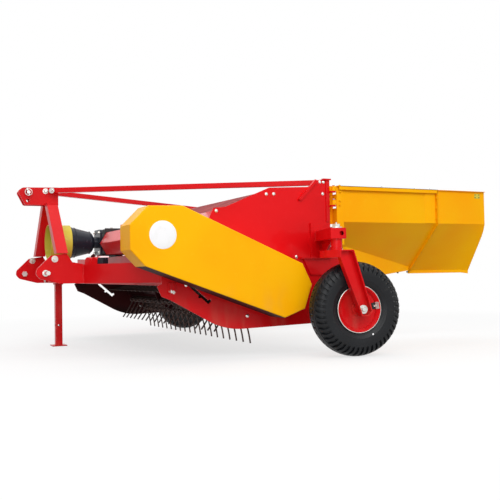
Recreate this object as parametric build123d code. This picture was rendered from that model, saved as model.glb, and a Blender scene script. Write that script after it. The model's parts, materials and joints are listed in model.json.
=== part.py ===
# Hay tedder for a tractor's three-point linkage: a tined rotor between two side panels,
# driven by a power shaft, a cross casing and a belt case, with two castor wheels behind
# and two hinged deflector doors that lay the swath.
# Millimetres. While it is drawn, x = 0 is at the lower hitch studs, +X is to the rear,
# y = 0 is the centre line, +Y is the machine's right and z = 0 is the ground.
# Everything is moved at the end so that the origin is below the middle of the machine.

import os
from math import cos, pi, radians, sin, tan

from build123d import *

# Clearances
RUN_GAP = 0.3            # round a shaft or pin that turns, and beside it
SLIDE_GAP = 0.5          # each side of a leg that slides in a socket
SIDE_GAP = 6.0           # between a moving piece and the frame beside it

# Hitch, category 1
MAST_TOP_Z = 936.0       # upper edge of the top bracket
MAST_H = 489.0           # from the lower studs up to it
HITCH_Z = MAST_TOP_Z - MAST_H
HITCH_HALF_WIDTH = 340.0  # centre line to the middle of a hitch plate
HITCH_PLATE_T = 12.0
STUD_R = 11.0
STUD_LENGTH = 75.0       # outside its shoulder
STUD_SHOULDER = 4.0
STUD_BOLT_HOLE_R = 5.0   # linch pin hole near the stud's end
STUD_NUT_R = 17.0
STUD_NUT_H = 16.0
CHEEK_H = 98.0           # top bracket, from its top edge down to the legs
CHEEK_LOW_Z = MAST_TOP_Z - CHEEK_H
CHEEK_FRONT_X = -89.23
CHEEK_REAR_X = 134.0
TOP_PIN_X = -35.0
TOP_PIN_DROP = 27.0
TOP_PIN_Z = MAST_TOP_Z - TOP_PIN_DROP
SPARE_HOLE_X = -36.0
SPARE_HOLE_DROP = 73.0
SPARE_HOLE_Z = MAST_TOP_Z - SPARE_HOLE_DROP
TOP_PIN_R = 9.5
TOP_CHEEK_GAP = 50.0     # between the two cheeks of the top bracket
TOP_CHEEK_T = 10.0
CHEEK_NOSE_R = 26.0

# Headstock and main beams
HEAD_FRONT_X = 130.0
HEAD_REAR_X = 200.0
BEAM_DROP = 57.0         # from the studs down to the beams' lower face
BEAM_H = 102.0
BEAM_Z0 = HITCH_Z - BEAM_DROP
BEAM_Z1 = BEAM_Z0 + BEAM_H
BEAM_W = 50.0
BEAM_WALL = 5.0
MAST_LEG_W = 60.0
MAST_LEG_D = 50.0
MAST_LEG_WALL = 5.0
MAST_X = 88.0
MAST_FOOT_H = 60.0
MAST_FOOT_Z = BEAM_Z1 + MAST_FOOT_H
MAST_FOOT_IN = 18.0      # foot's middle, inside the hitch plate's
MAST_HEAD_Y = 62.0       # head's middle, from the centre line
HITCH_NOSE_R = 24.0
TIE_BAR_W = 28.0
TIE_BAR_WALL = 4.0
TIE_BAR_DROP = 15.0      # bar's middle, below the bracket's top edge

# Side panels
PANEL_Y = 900.0          # centre line to the outer face
PANEL_T = 6.0
PANEL_REAR_X = 1430.0
PANEL_TOP_Z = 932.0
POST_W = 44.0            # rear post, along X
POST_D = 40.0            # rear post, across the machine
POST_WALL = 5.0
POST_LOW_Z = 160.0
PANEL_LIP = 16.0         # how far the panel's edge stands above the hood
BELLY_R = 375.0          # round below the rotor
BELLY_CORNER = 3         # the corner of the panel's outline that it rounds

# Cross members
CROSS_X0 = 455.0
CROSS_X1 = 545.0
CROSS_Z0 = BEAM_Z0 - 10.0
CROSS_H = 160.0
CROSS_Z1 = CROSS_Z0 + CROSS_H
CROSS_WALL = 6.0
SOLE_T = 4.0             # plate under the front cross beam
SOLE_LIP = 9.0           # how far it stands out in front
SHEET_T = 4.0            # hood sheet
REAR_TUBE_R = 30.0
REAR_TUBE_WALL = 4.0
REAR_TUBE_X = 1352.0
REAR_TUBE_DROP = 64.0
REAR_TUBE_Z = PANEL_TOP_Z - REAR_TUBE_DROP

# Drive
PTO_LIFT = 178.0         # above the lower studs
PTO_Z = HITCH_Z + PTO_LIFT
PTO_R = 17.45            # 1 3/8 inch input shaft
PTO_FRONT_X = 262.0
PTO_STUB = 76.0          # splined length
PTO_JOURNAL_R = 20.0
GEARBOX_X0 = 409.0
GEARBOX_X1 = 520.0
GEARBOX_HALF_W = 85.0
GEARBOX_RISE = 75.0      # from the input shaft up to its top
GEARBOX_EDGE_R = 18.0
GEARBOX_FOOT_H = 20.0
NOSE_R = 52.0
NOSE_LENGTH = 30.0
SHAFT_SEAT = 39.0        # input shaft's end inside the box
CASING_PLATE_T = 8.0     # the casing's flange on the gearbox
CASING_PLATE_X1 = 504.0
CASING_PLATE_DROP = 55.0
CASING_PLATE_RISE = 68.0
CASING_X = 434.0
CASING_Z = PTO_Z - 9.0
CASING_FLAT = 64.0       # axis to the top and bottom flats
CASING_WALL = 5.0
LUG_IN_Y = 276.0         # lifting lug on the casing
LUG_OUT_Y = 312.0
LUG_H = 34.0
GUARD_DEPTH = 158.0      # from the panel's outer face
GUARD_T = 3.0
GUARD_EDGE_R = 6.0
CASE_LIP = 34.0          # turned edge of the back plate
CASE_LIP_T = 4.0
CASE_LIP_END_X = 392.0
COLLAR_R = 101.0
COLLAR_T = 3.0
COLLAR_FRONT_X = 80.0
COLLAR_LAP = 11.0        # how far it reaches back over the cone
CONE_FRONT_X = 189.0
CONE_R = 95.0            # at its mouth
CONE_WALL = 4.0
RIM_T = 4.0              # rim at its mouth
NECK_R = 33.0

# Rotor
ROTOR_X = 952.0
ROTOR_Z = 345.0
TIP_R = 282.0
ROTOR_TUBE_R = 57.0
ROTOR_TUBE_WALL = 5.0
SHAFT_R = 20.0
TINE_ROWS = 8
TINE_D = 9.0
TINE_PITCH = 87.0
TINES_PER_ROW = 20
TINE_TRAIL = 19.5        # degrees that a tine trails behind the radius
ROTOR_REST = 6.5         # degrees that the rotor has turned from a row straight below
COIL_R = 15.0            # spring coil at a tine's root
COIL_W = 25.0
COIL_SEAT = 2.0
BAR_R = 128.0            # axis to the middle of a tine bar
BAR_SIZE = 26.0
BAR_WALL = 3.0
SPIDER_T = 8.0
SPIDER_GAPS = 3          # tine gaps from the middle to an inner disc

# Castors and wheels
CASTOR_X = 1283.0
CASTOR_Y = 1190.0
CASTOR_TRAIL = 92.0
CASTOR_TOE_IN = 8.0      # degrees, as the castors stand
SPINDLE_R = 17.0
CROWN_Z0 = 498.0
CROWN_Z1 = 536.0
BOSS_R = 29.0
BRACKET_Z0 = 594.0
BRACKET_Z1 = 648.0
BRACKET_W = 80.0
BRACKET_WALL = 7.0
BRACKET_SKEW = 17.0      # degrees that the bracket's arm runs forward as it goes out
BRACKET_END = 40.0       # arm past the spindle
BRACKET_HOLE_R = 11.5
BRACKET_HOLE_AFT = 16.0  # behind the middle of its end
GUSSET_SET = 40.0        # in from the boss
PAD_T = 10.0
PAD_LEDGE_Z = 505.0
PAD_LEDGE_OUT = 26.0
PAD_LEDGE_T = 8.0
PAD_LEDGE_X = 1233.0     # its front end
CROWN_FRONT = 75.0       # in front of the spindle, on the inner side
CROWN_REAR = 41.0
CROWN_IN = 42.0
ARM_FRONT = 33.0         # arm's front edge at the crown, in front of the spindle
ARM_T = 36.0
ARM_WALL = 6.0           # its edges
ARM_WEB = 8.0
ARM_GAP = 8.0            # tyre to arm
ARM_TOE = [(45.0, -10.0), (24.0, -32.0), (-14.0, -34.0), (-24.0, -4.0)]  # x, z of its lower end from the axle
SPINDLE_NUT_R = 21.0
SPINDLE_NUT_H = 15.0
SPINDLE_WASHER_T = 6.0
SPINDLE_LIP = 13.0       # collar's and washer's edge outside the spindle
COLLAR_H = 12.0          # between crown and boss
TYRE_R = 240.0
TYRE_W = 140.0
TYRE_WALL = 12.0
RIM_R = 118.0
RIM_W = 116.0
RIM_DISC_T = 6.0
WELL_DEPTH = 20.0        # below the flange's edge
DISC_SET = 24.0          # disc's outer face at the hub, in from the flange
DISC_RISE = 6.0          # it comes out by this much towards the well
DISC_FLAT = 20.0         # flat ring round the hub
SHOULDER_SET = 14.0      # axle's shoulder, in from the flange
SHOULDER_LIP = 12.0
HUB_SET = 20.0           # axle's inner end, in from the other flange
FLANGE_W = 8.0
BEAD_GAP = 0.5
AXLE_R = 12.5
HUB_R = 34.0

# Deflector doors
HINGE_X = PANEL_REAR_X + 19.0
HINGE_Y = PANEL_Y + 12.0
HINGE_DROPS = (330.0, 124.5, 47.5)  # from the panel's top to the middle of each hinge
HINGE_ZS = [PANEL_TOP_Z - drop for drop in HINGE_DROPS]
HINGE_PIN_R = 6.0
KNUCKLE_R = 11.0
KNUCKLE_HALF = 13.0
LUG_T = 8.0
DOOR_X0 = HINGE_X + 17.0
DOOR_LENGTH = 694.0      # of the main sheet
DOOR_JOINT_X = DOOR_X0 + DOOR_LENGTH
EXTENSION_LENGTH = 374.0
DOOR_END_X = DOOR_JOINT_X + EXTENSION_LENGTH
DOOR_TOP_Z = PANEL_TOP_Z - 32.0
DOOR_UPPER_H = 198.0     # upright sheet
DOOR_LOWER_H = 274.0     # leaning sheet
DOOR_CREASE_Z = DOOR_TOP_Z - DOOR_UPPER_H
DOOR_BOTTOM_Z = DOOR_CREASE_Z - DOOR_LOWER_H
DOOR_Y = HINGE_Y - 2.0   # outer face
DOOR_SLOPE_IN = 280.0    # how far the lower sheet leans in, at the joint
DOOR_SLOPE_IN_END = 170.0
DOOR_T = 3.0
DOOR_LIP = 18.0
DOOR_STILE_W = 45.0      # stiffening strip along the front edge
DOOR_RETURN = 38.0       # front edge turned in
LUG_NOTCH = 8.0
SKIRT_AFT = 149.0        # the fold above the skirt starts this far along the sheet
SKIRT_DROPS = (132.0, 250.0)  # and lies this far below the crease, in front and behind
SKIRT_FRONT = (DOOR_X0 + SKIRT_AFT, DOOR_CREASE_Z - SKIRT_DROPS[0])
SKIRT_REAR = (DOOR_JOINT_X - 13.0, DOOR_CREASE_Z - SKIRT_DROPS[1])
SKIRT_LOW_Z = DOOR_BOTTOM_Z - 56.0
END_CUT_X = DOOR_END_X - 64.0  # where the extension's rear edge meets its bottom

# Parking stand
STAND_X = 198.0
STAND_W = 40.0
STAND_WALL = 4.0
SOCKET_WALL = 5.5
STAND_Y = HITCH_HALF_WIDTH - HITCH_PLATE_T / 2 - STAND_W / 2 - SLIDE_GAP - SOCKET_WALL  # beside the plate
FOOT_W = 88.0
FOOT_T = 6.0
STAND_TOP_Z = BEAM_Z1 + 28.0
STAND_HOLE_Z = 127.0
STAND_HOLE_R = 7.0

# Outlines that several pieces follow
HOOD_LINE = [  # x, z of the hood's upper face at its folds, from the front
    (706.0, PANEL_TOP_Z - 242.0), (732.0, PANEL_TOP_Z - 184.0), (798.0, PANEL_TOP_Z - 177.0),
    (1054.0, PANEL_TOP_Z - 70.0)]
PANEL_OUTLINE = [  # x, z; from the front below the beam, round under the rotor and back along the top
    (CROSS_X0 - 25.0, CROSS_Z0 - 8.0), (CROSS_X0 - 2.0, CROSS_Z0 - 59.0), (496.0, CROSS_Z0 - 76.0),
    (790.0, 141.0), (PANEL_REAR_X, 156.0), (PANEL_REAR_X, PANEL_TOP_Z), (PANEL_REAR_X - 60.0, PANEL_TOP_Z),
    (1293.0, PANEL_TOP_Z - 42.0)] + [(x + 3.0, z + PANEL_LIP) for x, z in HOOD_LINE[::-1]] + [
    (CROSS_X1 - 25.0, CROSS_Z1 + 5.0), (CROSS_X0, CROSS_Z1 + 5.0), (CROSS_X0, CROSS_Z0 + 3.0)]
SLOT_OUTLINE = [  # x, z of the adjusting slot, with its hooked rear end
    (598.0, 366.0), (608.0, 376.0), (700.0, 296.0), (710.0, 302.0), (718.0, 292.0), (700.0, 276.0),
    (662.0, 310.0), (650.0, 306.0), (644.0, 314.0), (650.0, 320.0)]
HITCH_OUTLINE = [  # x, z of a hitch plate, with the foot of the mast leg on its top
    (-28.0, HITCH_Z - 30.0), (76.0, BEAM_Z0), (HEAD_REAR_X, BEAM_Z0), (HEAD_REAR_X, BEAM_Z1 + 2.0),
    (142.0, BEAM_Z1 + 13.0), (112.0, MAST_FOOT_Z), (28.0, MAST_FOOT_Z - 12.0), (-46.0, HITCH_Z + 21.0),
    (-50.0, HITCH_Z - 7.0)]
CHEEK_OUTLINE = [  # x, z of a cheek of the top bracket
    (CHEEK_FRONT_X, MAST_TOP_Z - 27.0), (CHEEK_FRONT_X + 20.0, MAST_TOP_Z), (CHEEK_REAR_X, MAST_TOP_Z + 6.0),
    (CHEEK_REAR_X, CHEEK_LOW_Z), (37.0, CHEEK_LOW_Z), (TOP_PIN_X - 18.0, CHEEK_LOW_Z)]
PAD_OUTLINE = [  # x, z of the castor bracket's plate on the panel
    (1300.0, 692.0), (PANEL_REAR_X - 8.0, 692.0), (PANEL_REAR_X - 8.0, 411.0), (1296.0, 414.0),
    (1250.0, PAD_LEDGE_Z), (1300.0, PAD_LEDGE_Z)]


def box(x0, x1, y0, y1, z0, z1):
    return Pos((x0 + x1) / 2, (y0 + y1) / 2, (z0 + z1) / 2) * Box(abs(x1 - x0), abs(y1 - y0), abs(z1 - z0))


def rod_x(y, z, r, x0, x1):
    return Pos((x0 + x1) / 2, y, z) * Rot(0, 90, 0) * Cylinder(r, abs(x1 - x0))


def rod_y(x, z, r, y0, y1):
    return Pos(x, (y0 + y1) / 2, z) * Rot(90, 0, 0) * Cylinder(r, abs(y1 - y0))


def rod_z(x, y, r, z0, z1):
    return Pos(x, y, (z0 + z1) / 2) * Cylinder(r, abs(z1 - z0))


def prism_y(outline, y0, y1):
    # outline is (x, z) corners
    wire = Polyline([(x, y0, z) for x, z in outline], close=True)
    return extrude(make_face(wire.edges()), amount=y1 - y0, dir=(0, 1, 0))


def prism_z(outline, z0, z1):
    # outline is (x, y) corners
    wire = Polyline([(x, y, z0) for x, y in outline], close=True)
    return extrude(make_face(wire.edges()), amount=z1 - z0, dir=(0, 0, 1))


def tube_between(start, end, width, depth, wall, side=(0, 1, 0)):
    # rectangular tube whose width lies along side, square to the run
    a, b = Vector(*start), Vector(*end)
    run = b - a
    plane = Plane(origin=a, x_dir=Vector(*side) - run * (run.dot(Vector(*side)) / run.dot(run)), z_dir=run)
    outer = extrude(plane * Rectangle(width, depth), amount=run.length)
    if not wall:
        return outer
    inner = extrude(plane * Rectangle(width - 2 * wall, depth - 2 * wall), amount=run.length)
    return outer - inner


def on_right(shape):
    return mirror(shape, Plane.XZ)


def rounded_y(shape, corners, radius):
    # rounds the edges along Y that stand at the given x, z corners
    y = shape.center().Y
    edges = [shape.edges().filter_by(Axis.Y).sort_by_distance((x, y, z))[0] for x, z in corners]
    return fillet(edges, radius)


def hitch_plate():
    y0 = -HITCH_HALF_WIDTH - HITCH_PLATE_T / 2
    plate = prism_y(HITCH_OUTLINE, y0, y0 + HITCH_PLATE_T)
    plate = rounded_y(plate, [HITCH_OUTLINE[0], HITCH_OUTLINE[-2], HITCH_OUTLINE[-1]], HITCH_NOSE_R)
    return plate - rod_y(0, HITCH_Z, STUD_R, y0 - 1, y0 + HITCH_PLATE_T + 1)


def hitch_stud():
    # lower hitch stud, through the plate, with a shoulder outside and a nut inside
    y_plate = -HITCH_HALF_WIDTH - HITCH_PLATE_T / 2
    y_out = y_plate - STUD_SHOULDER
    y_in = y_plate + HITCH_PLATE_T
    stud = rod_y(0, HITCH_Z, STUD_R, y_out - STUD_LENGTH, y_in + 18)
    stud += rod_y(0, HITCH_Z, STUD_R + 6, y_out, y_plate)
    nut = extrude(RegularPolygon(STUD_NUT_R, 6), amount=STUD_NUT_H / 2, both=True)
    stud += Pos(0, y_in + STUD_NUT_H / 2, HITCH_Z) * Rot(90, 0, 0) * nut
    return stud - rod_z(0, y_out - STUD_LENGTH + 12, STUD_BOLT_HOLE_R, HITCH_Z - 30, HITCH_Z + 30)


def mast_leg():
    # cut level at the hitch plate and under the top bracket
    foot = Vector(MAST_X, MAST_FOOT_IN - HITCH_HALF_WIDTH, MAST_FOOT_Z)
    head = Vector(MAST_X, -MAST_HEAD_Y, CHEEK_LOW_Z)
    overrun = (head - foot).normalized() * 2 * MAST_LEG_W
    leg = tube_between(foot - overrun, head + overrun, MAST_LEG_W, MAST_LEG_D, MAST_LEG_WALL, side=(1, 0, 0))
    y_cheek = -TOP_CHEEK_GAP / 2 - TOP_CHEEK_T
    return leg & box(MAST_X - MAST_LEG_W, MAST_X + MAST_LEG_W, -2 * HITCH_HALF_WIDTH, y_cheek, MAST_FOOT_Z,
                     CHEEK_LOW_Z)


def top_bracket():
    # two cheeks for the tractor's top link, a web behind them and a plate on the legs
    y1 = -TOP_CHEEK_GAP / 2
    y0 = y1 - TOP_CHEEK_T
    cheek = prism_y(CHEEK_OUTLINE, y0, y1)
    cheek = rounded_y(cheek, [CHEEK_OUTLINE[1]], CHEEK_NOSE_R)
    cheek = rounded_y(cheek, [CHEEK_OUTLINE[0], CHEEK_OUTLINE[-1]], CHEEK_NOSE_R / 2)
    for x, z in ((TOP_PIN_X, TOP_PIN_Z), (SPARE_HOLE_X, SPARE_HOLE_Z)):
        cheek -= rod_y(x, z, TOP_PIN_R + RUN_GAP, y0 - 1, y1 + 1)
    t = TOP_CHEEK_T
    web = box(MAST_X - MAST_LEG_W / 2, CHEEK_REAR_X, y1, -y1, CHEEK_LOW_Z, CHEEK_LOW_Z + t)
    back = box(CHEEK_REAR_X - t, CHEEK_REAR_X, y1, -y1, CHEEK_LOW_Z, MAST_TOP_Z)
    reach = MAST_HEAD_Y + MAST_LEG_D / 2 + 10
    foot = box(MAST_X - MAST_LEG_W / 2, MAST_X + MAST_LEG_W / 2, y0, -reach, CHEEK_LOW_Z, CHEEK_LOW_Z + t)
    return cheek + on_right(cheek) + web + back + foot + on_right(foot)


def top_pin():
    half = TOP_CHEEK_GAP / 2 + TOP_CHEEK_T
    pin = rod_y(TOP_PIN_X, TOP_PIN_Z, TOP_PIN_R, -half - 22, half + 8)
    pin += rod_y(TOP_PIN_X, TOP_PIN_Z, TOP_PIN_R + 7, half + RUN_GAP, half + 8)
    return pin - rod_x(-half - 14, TOP_PIN_Z, 3, TOP_PIN_X - 20, TOP_PIN_X + 20)


def tie_bar():
    # square bar from the top bracket back to the rear post
    half = TIE_BAR_W / 2
    y_cheek = -TOP_CHEEK_GAP / 2 - TOP_CHEEK_T
    y_panel = -PANEL_Y + PANEL_T
    x_post = PANEL_REAR_X - POST_W
    start = (MAST_X, y_cheek - half, MAST_TOP_Z - TIE_BAR_DROP)
    end = (x_post, y_panel + half, PANEL_TOP_Z - half)
    bar = tube_between(start, end, TIE_BAR_W, TIE_BAR_W, TIE_BAR_WALL)
    return bar & box(0, x_post, y_panel, y_cheek, 0, 2 * MAST_TOP_Z)


def headstock():
    half = HITCH_HALF_WIDTH - HITCH_PLATE_T / 2
    wall = BEAM_WALL
    right_end = STAND_Y - STAND_W / 2 - SLIDE_GAP - SOCKET_WALL
    beam = box(HEAD_FRONT_X, HEAD_REAR_X, -half, right_end, BEAM_Z0, BEAM_Z1)
    return beam - box(HEAD_FRONT_X + wall, HEAD_REAR_X - wall, -half - 1, right_end + 1, BEAM_Z0 + wall,
                      BEAM_Z1 - wall)


def main_beam(front_x):
    # from the headstock out to the cross beam and the side panel
    start = Vector(HEAD_REAR_X, -HITCH_HALF_WIDTH - 5, 0)
    end = Vector(CROSS_X0, -PANEL_Y + 30, 0)
    run = (end - start).normalized()
    inward = Vector(-run.Y, run.X, 0)
    middle = (BEAM_Z0 + BEAM_Z1) / 2
    centre = start + inward * (BEAM_W / 2) + Vector(0, 0, middle)
    overrun = run * 4 * BEAM_W
    beam = tube_between(centre - overrun, centre + (end - start) + overrun, BEAM_H, BEAM_W, BEAM_WALL,
                        side=(0, 0, 1))
    return beam & box(front_x, CROSS_X0, -PANEL_Y + PANEL_T, 0, BEAM_Z0 - 10, BEAM_Z1 + 10)


def cross_beam():
    half = PANEL_Y - PANEL_T
    wall = CROSS_WALL
    beam = box(CROSS_X0, CROSS_X1, -half, half, CROSS_Z0, CROSS_Z1)
    beam -= box(CROSS_X0 + wall, CROSS_X1 - wall, -half - 1, half + 1, CROSS_Z0 + wall, CROSS_Z1 - wall)
    return beam + box(CROSS_X0 - SOLE_LIP, CROSS_X1, -half, half, CROSS_Z0 - SOLE_T, CROSS_Z0)


def side_panel():
    y0 = -PANEL_Y
    corners = [Vector(x, y0, z) for x, z in PANEL_OUTLINE]
    belly = corners[BELLY_CORNER]
    ahead = (corners[BELLY_CORNER - 1] - belly).normalized()
    behind = (corners[BELLY_CORNER + 1] - belly).normalized()
    inward = (ahead + behind).normalized()
    half = radians(ahead.get_angle(behind)) / 2
    reach = BELLY_R / tan(half)
    start, end = belly + ahead * reach, belly + behind * reach
    middle = belly + inward * (BELLY_R / sin(half) - BELLY_R)
    edges = Polyline(corners[:BELLY_CORNER] + [start]).edges() + [ThreePointArc(start, middle, end)]
    edges += Polyline([end] + corners[BELLY_CORNER + 1:] + corners[:1]).edges()
    panel = extrude(make_face(edges), amount=PANEL_T, dir=(0, 1, 0))
    panel -= rod_y(ROTOR_X, ROTOR_Z, SHAFT_R + SIDE_GAP, y0 - 1, y0 + PANEL_T + 1)
    return panel - prism_y(SLOT_OUTLINE, y0 - 1, y0 + PANEL_T + 1)


def rear_post():
    # square tube up the inside of the panel's rear edge, with the door's fixed hinge pins
    y0 = -PANEL_Y + PANEL_T
    x0 = PANEL_REAR_X - POST_W
    wall = POST_WALL
    post = box(x0, PANEL_REAR_X, y0, y0 + POST_D, POST_LOW_Z, PANEL_TOP_Z)
    post -= box(x0 + wall, PANEL_REAR_X - wall, y0 + wall, y0 + POST_D - wall, POST_LOW_Z - 1,
                PANEL_TOP_Z - wall)
    for z in HINGE_ZS:
        lug_top = z - KNUCKLE_HALF - 1
        lug = box(PANEL_REAR_X, HINGE_X, -HINGE_Y - 5, -PANEL_Y + POST_D, lug_top - LUG_T, lug_top)
        lug += rod_z(HINGE_X, -HINGE_Y, KNUCKLE_R, lug_top - LUG_T, lug_top)
        lug += rod_z(HINGE_X, -HINGE_Y, HINGE_PIN_R, lug_top, z + KNUCKLE_HALF + 5)
        post += lug
    return post


def hood():
    # sheet over the rotor, a little below the panels' edges, from the cross beam to the rear tube
    front_z = CROSS_Z1 - 2 * SHEET_T
    profile = [(CROSS_X1, front_z)] + HOOD_LINE + [(REAR_TUBE_X, REAR_TUBE_Z + SHEET_T)]
    under = [(x + 0.75 * SHEET_T, z - SHEET_T) for x, z in profile[:0:-1]]
    under.append((CROSS_X1, front_z - 1.5 * SHEET_T))
    half = PANEL_Y - PANEL_T
    sheet = prism_y(profile + under, -half, half)
    return sheet - rod_y(REAR_TUBE_X, REAR_TUBE_Z, REAR_TUBE_R, -half - 1, half + 1)


def rear_tube():
    half = PANEL_Y - PANEL_T
    tube = rod_y(REAR_TUBE_X, REAR_TUBE_Z, REAR_TUBE_R, -half, half)
    return tube - rod_y(REAR_TUBE_X, REAR_TUBE_Z, REAR_TUBE_R - REAR_TUBE_WALL, -half - 1, half + 1)


# Belt case on the left side
GUARD_FRONT = [  # x, and z above the casing's axis, of the outer face's front part
    (511.0, 141.0), (339.0, 137.0), (249.0, 47.0), (249.0, -70.0), (322.0, -147.0)]
GUARD_REAR = [  # x, and z above the rotor's axis, of its rear part
    (1053.0, -145.0), (1171.0, -103.0), (1215.0, 22.0), (1162.0, 129.0)]
GUARD_OUTLINE = [(x, CASING_Z + up) for x, up in GUARD_FRONT] + [(x, ROTOR_Z + up) for x, up in GUARD_REAR]
BACK_PLATE = [  # x, and z above the casing's axis, of the red plate behind the front part
    (263.0, 44.0), (263.0, -67.0), (330.0, -138.0), (500.0, -201.0), (700.0, 44.0), (511.0, 124.0),
    (345.0, 124.0)]
BACK_OUTLINE = [(x, CASING_Z + up) for x, up in BACK_PLATE]


def belt_case():
    # shell open towards the machine, closed there by the back plate and the panel
    outer = prism_y(GUARD_OUTLINE, -PANEL_Y - GUARD_DEPTH, -PANEL_Y)
    outer = fillet(outer.faces().sort_by(Axis.Y)[0].outer_wire().edges(), GUARD_EDGE_R)
    inner = offset(make_face(Polyline([(x, 0, z) for x, z in GUARD_OUTLINE], close=True).edges()),
                   amount=-GUARD_T, kind=Kind.INTERSECTION)
    inner = extrude(Pos(0, -PANEL_Y - GUARD_DEPTH + GUARD_T, 0) * inner, amount=GUARD_DEPTH, dir=(0, 1, 0))
    return outer - inner


def case_back():
    # red plate that carries on the panel's plane forward, with its front edge turned in
    y0 = -PANEL_Y
    plate = prism_y(BACK_OUTLINE, y0, y0 + PANEL_T)
    core = offset(make_face(Polyline([(x, y0 - 1, z) for x, z in BACK_OUTLINE], close=True).edges()),
                  amount=-CASE_LIP_T, kind=Kind.INTERSECTION)
    lip = prism_y(BACK_OUTLINE, y0, y0 + CASE_LIP) - extrude(core, amount=CASE_LIP + 2, dir=(0, 1, 0))
    plate += lip & box(0, CASE_LIP_END_X, y0, y0 + CASE_LIP, 0, 2 * CASING_Z)
    plate -= prism_y(PANEL_OUTLINE, y0 - 1, y0 + PANEL_T + 1)
    return plate - rod_y(CASING_X, CASING_Z, SHAFT_R + SIDE_GAP, y0 - 1, y0 + PANEL_T + 1)


def gearbox():
    foot_z = CROSS_Z1 + GEARBOX_FOOT_H
    body = box(GEARBOX_X0, GEARBOX_X1, -GEARBOX_HALF_W, GEARBOX_HALF_W, foot_z, PTO_Z + GEARBOX_RISE)
    body = fillet(body.edges().filter_by(Axis.Z), radius=GEARBOX_EDGE_R)
    nose_x = GEARBOX_X0 - NOSE_LENGTH
    nose = rod_x(0, PTO_Z, NOSE_R, nose_x, GEARBOX_X0 + GEARBOX_EDGE_R)
    foot_half = GEARBOX_HALF_W - 10
    feet = box(CROSS_X0 + 2, GEARBOX_X1 - GEARBOX_FOOT_H, -foot_half, foot_half, CROSS_Z1, foot_z)
    bore = rod_x(0, PTO_Z, PTO_JOURNAL_R + RUN_GAP, nose_x - 1, GEARBOX_X0 + SHAFT_SEAT + 1)
    return body + nose + feet - bore


def input_shaft():
    stub_end = PTO_FRONT_X + PTO_STUB
    stub = rod_x(0, PTO_Z, PTO_R, PTO_FRONT_X, stub_end)
    return stub + rod_x(0, PTO_Z, PTO_JOURNAL_R, stub_end, GEARBOX_X0 + SHAFT_SEAT)


def hex_y(x, z, flat, y0, y1):
    # hexagonal bar along Y with flats above and below
    corners = [(x + flat / cos(pi / 6) * cos(a * pi / 3), z + flat / cos(pi / 6) * sin(a * pi / 3))
               for a in range(6)]
    return prism_y(corners, y0, y1)


def shaft_casing():
    y0, y1 = -PANEL_Y + PANEL_T, -GEARBOX_HALF_W
    y_plate = y1 - CASING_PLATE_T
    casing = hex_y(CASING_X, CASING_Z, CASING_FLAT, y0, y_plate)
    casing -= hex_y(CASING_X, CASING_Z, CASING_FLAT - CASING_WALL, y0 - 1, y1)
    casing += box(GEARBOX_X0, CASING_PLATE_X1, y_plate, y1, CASING_Z - CASING_PLATE_DROP,
                  CASING_Z + CASING_PLATE_RISE)
    casing -= rod_y(CASING_X, CASING_Z, SHAFT_R + SIDE_GAP, y_plate - 1, y1 + 1)
    top = CASING_Z + CASING_FLAT
    lug = box(CASING_X - 4, CASING_X + 4, -LUG_OUT_Y, -LUG_IN_Y, top, top + LUG_H)
    lug -= rod_x(-(LUG_IN_Y + LUG_OUT_Y) / 2, top + LUG_H / 2 + 2, 7, CASING_X - 10, CASING_X + 10)
    return casing + lug


def pto_cone():
    # black guard: flange on the gearbox nose, neck and flared cup with the rim that the collar sits on
    profile = [  # x, radius of the outside
        (GEARBOX_X0 - 42, NECK_R), (GEARBOX_X0 - 66, NECK_R), (CONE_FRONT_X + 142, 55),
        (CONE_FRONT_X + 130, 63), (CONE_FRONT_X, CONE_R)]
    rim_r = COLLAR_R - COLLAR_T
    outer = profile[:-1] + [(CONE_FRONT_X + RIM_T, r) for r in (CONE_R, rim_r)] + [(CONE_FRONT_X, rim_r)]
    inner = [(x, r - CONE_WALL) for x, r in profile[::-1]]
    wire = Polyline([(x, 0, PTO_Z + r) for x, r in outer + inner], close=True)
    cup = revolve(make_face(wire.edges()), Axis((0, 0, PTO_Z), (1, 0, 0)), 360)
    flange = box(GEARBOX_X0 - 42, GEARBOX_X0 - 30, -72, 72, PTO_Z - 75, PTO_Z + 75)
    flange = fillet(flange.edges().filter_by(Axis.X), radius=20)
    flange -= rod_x(0, PTO_Z, NECK_R - CONE_WALL, GEARBOX_X0 - 50, GEARBOX_X0)
    return cup + flange


def pto_collar():
    # straight ring round the mouth of the cone, seated on its rim
    x1 = CONE_FRONT_X + COLLAR_LAP
    bore = COLLAR_R - COLLAR_T
    return rod_x(0, PTO_Z, COLLAR_R, COLLAR_FRONT_X, x1) - rod_x(0, PTO_Z, bore, COLLAR_FRONT_X - 1, x1 + 1)


# Rotor, drawn about its own axis and then moved to its bearings
def rotor_shaft():
    inside = PANEL_Y - PANEL_T
    tube_half = inside - 20
    reach = PANEL_Y + 40
    shaft = rod_y(0, 0, ROTOR_TUBE_R, -tube_half, tube_half)
    shaft -= rod_y(0, 0, ROTOR_TUBE_R - ROTOR_TUBE_WALL, -tube_half + 12, tube_half - 12)
    for side in (-1, 1):
        shaft += rod_y(0, 0, SHAFT_R, side * (tube_half - 12), side * reach)
    end = tube_half - SPIDER_T
    for y in (-end, -SPIDER_GAPS * TINE_PITCH, SPIDER_GAPS * TINE_PITCH, end):
        disc = rod_y(0, 0, BAR_R + BAR_SIZE / 2 + 6, y - SPIDER_T / 2, y + SPIDER_T / 2)
        for row in range(TINE_ROWS):
            angle = 360 * row / TINE_ROWS
            disc -= Rot(0, angle, 0) * box(-BAR_SIZE / 2, BAR_SIZE / 2, y - SPIDER_T, y + SPIDER_T,
                                          -BAR_R - BAR_SIZE / 2, -BAR_R + BAR_SIZE / 2)
        shaft += disc
    return Pos(ROTOR_X, 0, ROTOR_Z) * Rot(0, ROTOR_REST, 0) * shaft


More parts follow.
